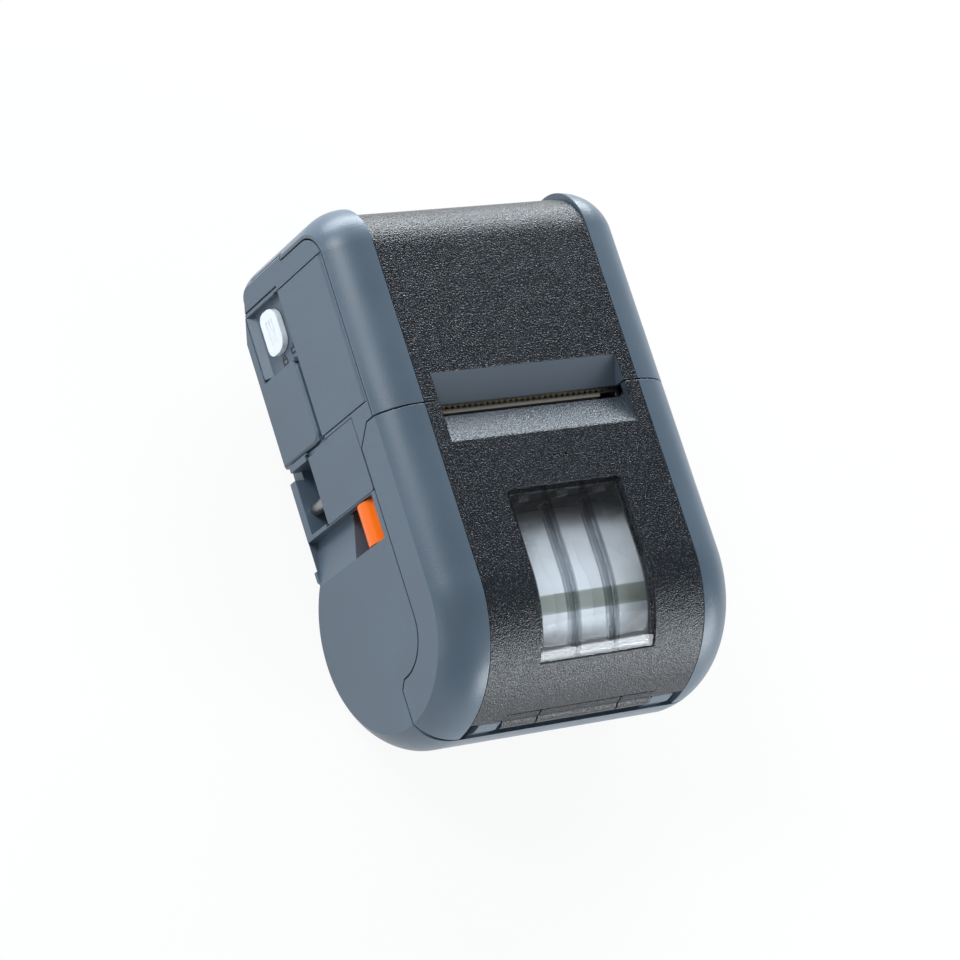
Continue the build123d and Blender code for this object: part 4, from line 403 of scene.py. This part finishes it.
# Pictograms on the four keys of the top end, raised a little and printed white
POWER_X, FEED_X, WIRELESS_X, LINK_X = -24, -8, 8, 24
key_y, key_z = 74.86, 40.0
WIRE = 0.17  # half the thickness of a printed line
power_mark = [
    arc("power_ring", (POWER_X, key_y, key_z - 0.2), 1.5, WIRE, FACE_KEYS, 90, 180),
    bar("power_line", (POWER_X, key_y, key_z + 1.1), (0.34, 0.3, 1.6)),
]
feed_mark = [
    start(
        bpy.ops.mesh.primitive_cylinder_add,
        "feed_arrow",
        (FEED_X, key_y, key_z - 0.4),
        rotation=(math.pi / 2, 0, 0),
        vertices=3,
        radius=1.35 * MM,
        depth=0.3 * MM,
    ),
    bar("feed_line", (FEED_X, key_y, key_z + 1.6), (2.4, 0.3, 0.36)),
]
rounded(feed_mark[0], 0.06)
wave_foot = (WIRELESS_X, key_y, key_z - 1.2)
wireless_mark = [arc("wave", wave_foot, radius, WIRE, FACE_KEYS, 90, 48) for radius in (0.9, 1.7, 2.5)]
wireless_mark.append(bar("wave_dot", wave_foot, (0.55, 0.3, 0.55), (0, math.pi / 4, 0)))
link_mark = [
    arc("link_ring", (LINK_X + side, key_y, key_z), 1.15, WIRE, FACE_KEYS) for side in (-0.75, 0.75)
]
key_marks = {"power": power_mark, "feed": feed_mark, "wireless": wireless_mark, "link": link_mark}
for name, parts in key_marks.items():
    settle(joined(name + "_mark", parts), "key_" + name, white_abs)

# The print head's face: a glazed ridge over the row of heaters and a black cover on the drivers
head_y = 10.2
ridge = bar("heater_ridge", (0, head_y, 56.7), (51.0, 0.36, 0.9), edge_mm=0.17)
settle(ridge, "housing", glaze)
driver_cover = bar("driver_cover", (0, head_y, 51.9), (44.0, 1.1, 2.2), edge_mm=0.45)
settle(driver_cover, "housing", dark_abs)

# Two lenses of the label sensor
for name, x in (("sensor_lens_left", -1.9), ("sensor_lens_right", 1.9)):
    lens = start(
        bpy.ops.mesh.primitive_uv_sphere_add,
        name,
        (x, -4.5, 46.7),
        segments=24,
        ring_count=12,
        radius=1.1 * MM,
        scale=(1, 1, 0.5),
    )
    settle(lens, "housing", glaze)

# Camera, fitted to the photograph: a long lens, high above the printer's left side
EYE = (-0.6491125, -0.2940301, 0.9191099)
camera_data = bpy.data.cameras.new("camera")
camera = bpy.data.objects.new("camera", camera_data)
bpy.context.scene.collection.objects.link(camera)
camera_data.sensor_width = 36
camera_data.lens = 148.988
camera_data.clip_start = 0.01
right = Vector((0.81548897, -0.29532538, 0.49775563))
up = Vector((0.10222031, 0.91999172, 0.37837316))
back = Vector((-0.56967426, -0.25767840, 0.78043134))
camera.matrix_world = Matrix.Translation(EYE) @ Matrix((right, up, back)).transposed().to_4x4()
bpy.context.scene.camera = camera
bpy.context.scene.view_settings.view_transform = "Standard"

# Floor under the printer
bpy.ops.object.select_all(action="DESELECT")
bpy.ops.mesh.primitive_plane_add(size=8, location=(0, 0, 0))
floor = bpy.context.object
floor.name = "floor"
floor_paint, floor_tree, floor_shader = new_material("white_floor")
floor_shader.inputs["Base Color"].default_value = linear("f4f4f4")
floor_shader.inputs["Roughness"].default_value = 0.9
# Camera, mirror and window rays see a white sweep; the floor still takes the shadow
path = add_node(floor_tree, "ShaderNodeLightPath").outputs
seen = maths(floor_tree, "MAXIMUM", path["Is Camera Ray"], path["Is Glossy Ray"])
seen = maths(floor_tree, "MAXIMUM", seen, path["Is Transmission Ray"])
glow = add_node(floor_tree, "ShaderNodeEmission", None, {"Color": (1, 1, 1, 1), "Strength": 1.0})
amount = maths(floor_tree, "MULTIPLY", seen, 0.9)
blend_inputs = {0: amount, 1: floor_shader.outputs[0], 2: glow.outputs[0]}
blend = add_node(floor_tree, "ShaderNodeMixShader", None, blend_inputs)
floor_tree.links.new(blend.outputs[0], floor_tree.nodes["Material Output"].inputs[0])
floor.data.materials.append(floor_paint)

# World: faint bluish light from all round, on a white background for the camera
world = bpy.data.worlds.new("studio")
bpy.context.scene.world = world
world.use_nodes = True
world_tree = world.node_tree
world_tree.nodes.clear()
sky_inputs = {"Color": (0.92, 0.96, 1.0, 1), "Strength": 0.21}
ambient = add_node(world_tree, "ShaderNodeBackground", None, sky_inputs)
bright = add_node(world_tree, "ShaderNodeBackground", None, {"Color": (1, 1, 1, 1), "Strength": 1.0})
camera_ray = add_node(world_tree, "ShaderNodeLightPath").outputs["Is Camera Ray"]
world_inputs = {0: camera_ray, 1: ambient.outputs[0], 2: bright.outputs[0]}
world_mix = add_node(world_tree, "ShaderNodeMixShader", None, world_inputs)
add_node(world_tree, "ShaderNodeOutputWorld", None, {0: world_mix.outputs[0]})


AIM = Vector((0, 0, 0.03))  # about the middle of the printer


def softbox(name, place, size, power, tint=(0.90, 0.96, 1.0)):
    """A rectangular studio softbox turned towards the printer."""
    lamp = bpy.data.lights.new(name, "AREA")
    lamp.shape = "RECTANGLE"
    lamp.size, lamp.size_y = size
    lamp.energy = power
    lamp.color = tint
    holder = bpy.data.objects.new(name, lamp)
    bpy.context.scene.collection.objects.link(holder)
    holder.location = place
    holder.rotation_euler = (AIM - Vector(place)).to_track_quat("-Z", "Y").to_euler()


softbox("top_strip", (0.35, 1.2, 0.30), (1.8, 0.5), 36)
softbox("key_softbox", (-0.72, 0.62, 0.82), (0.45, 0.45), 8)
softbox("low_softbox", (0.80, -1.0, 0.34), (1.2, 0.5), 19)
softbox("side_softbox", (-1.2, -0.30, 0.30), (0.7, 0.5), 3)
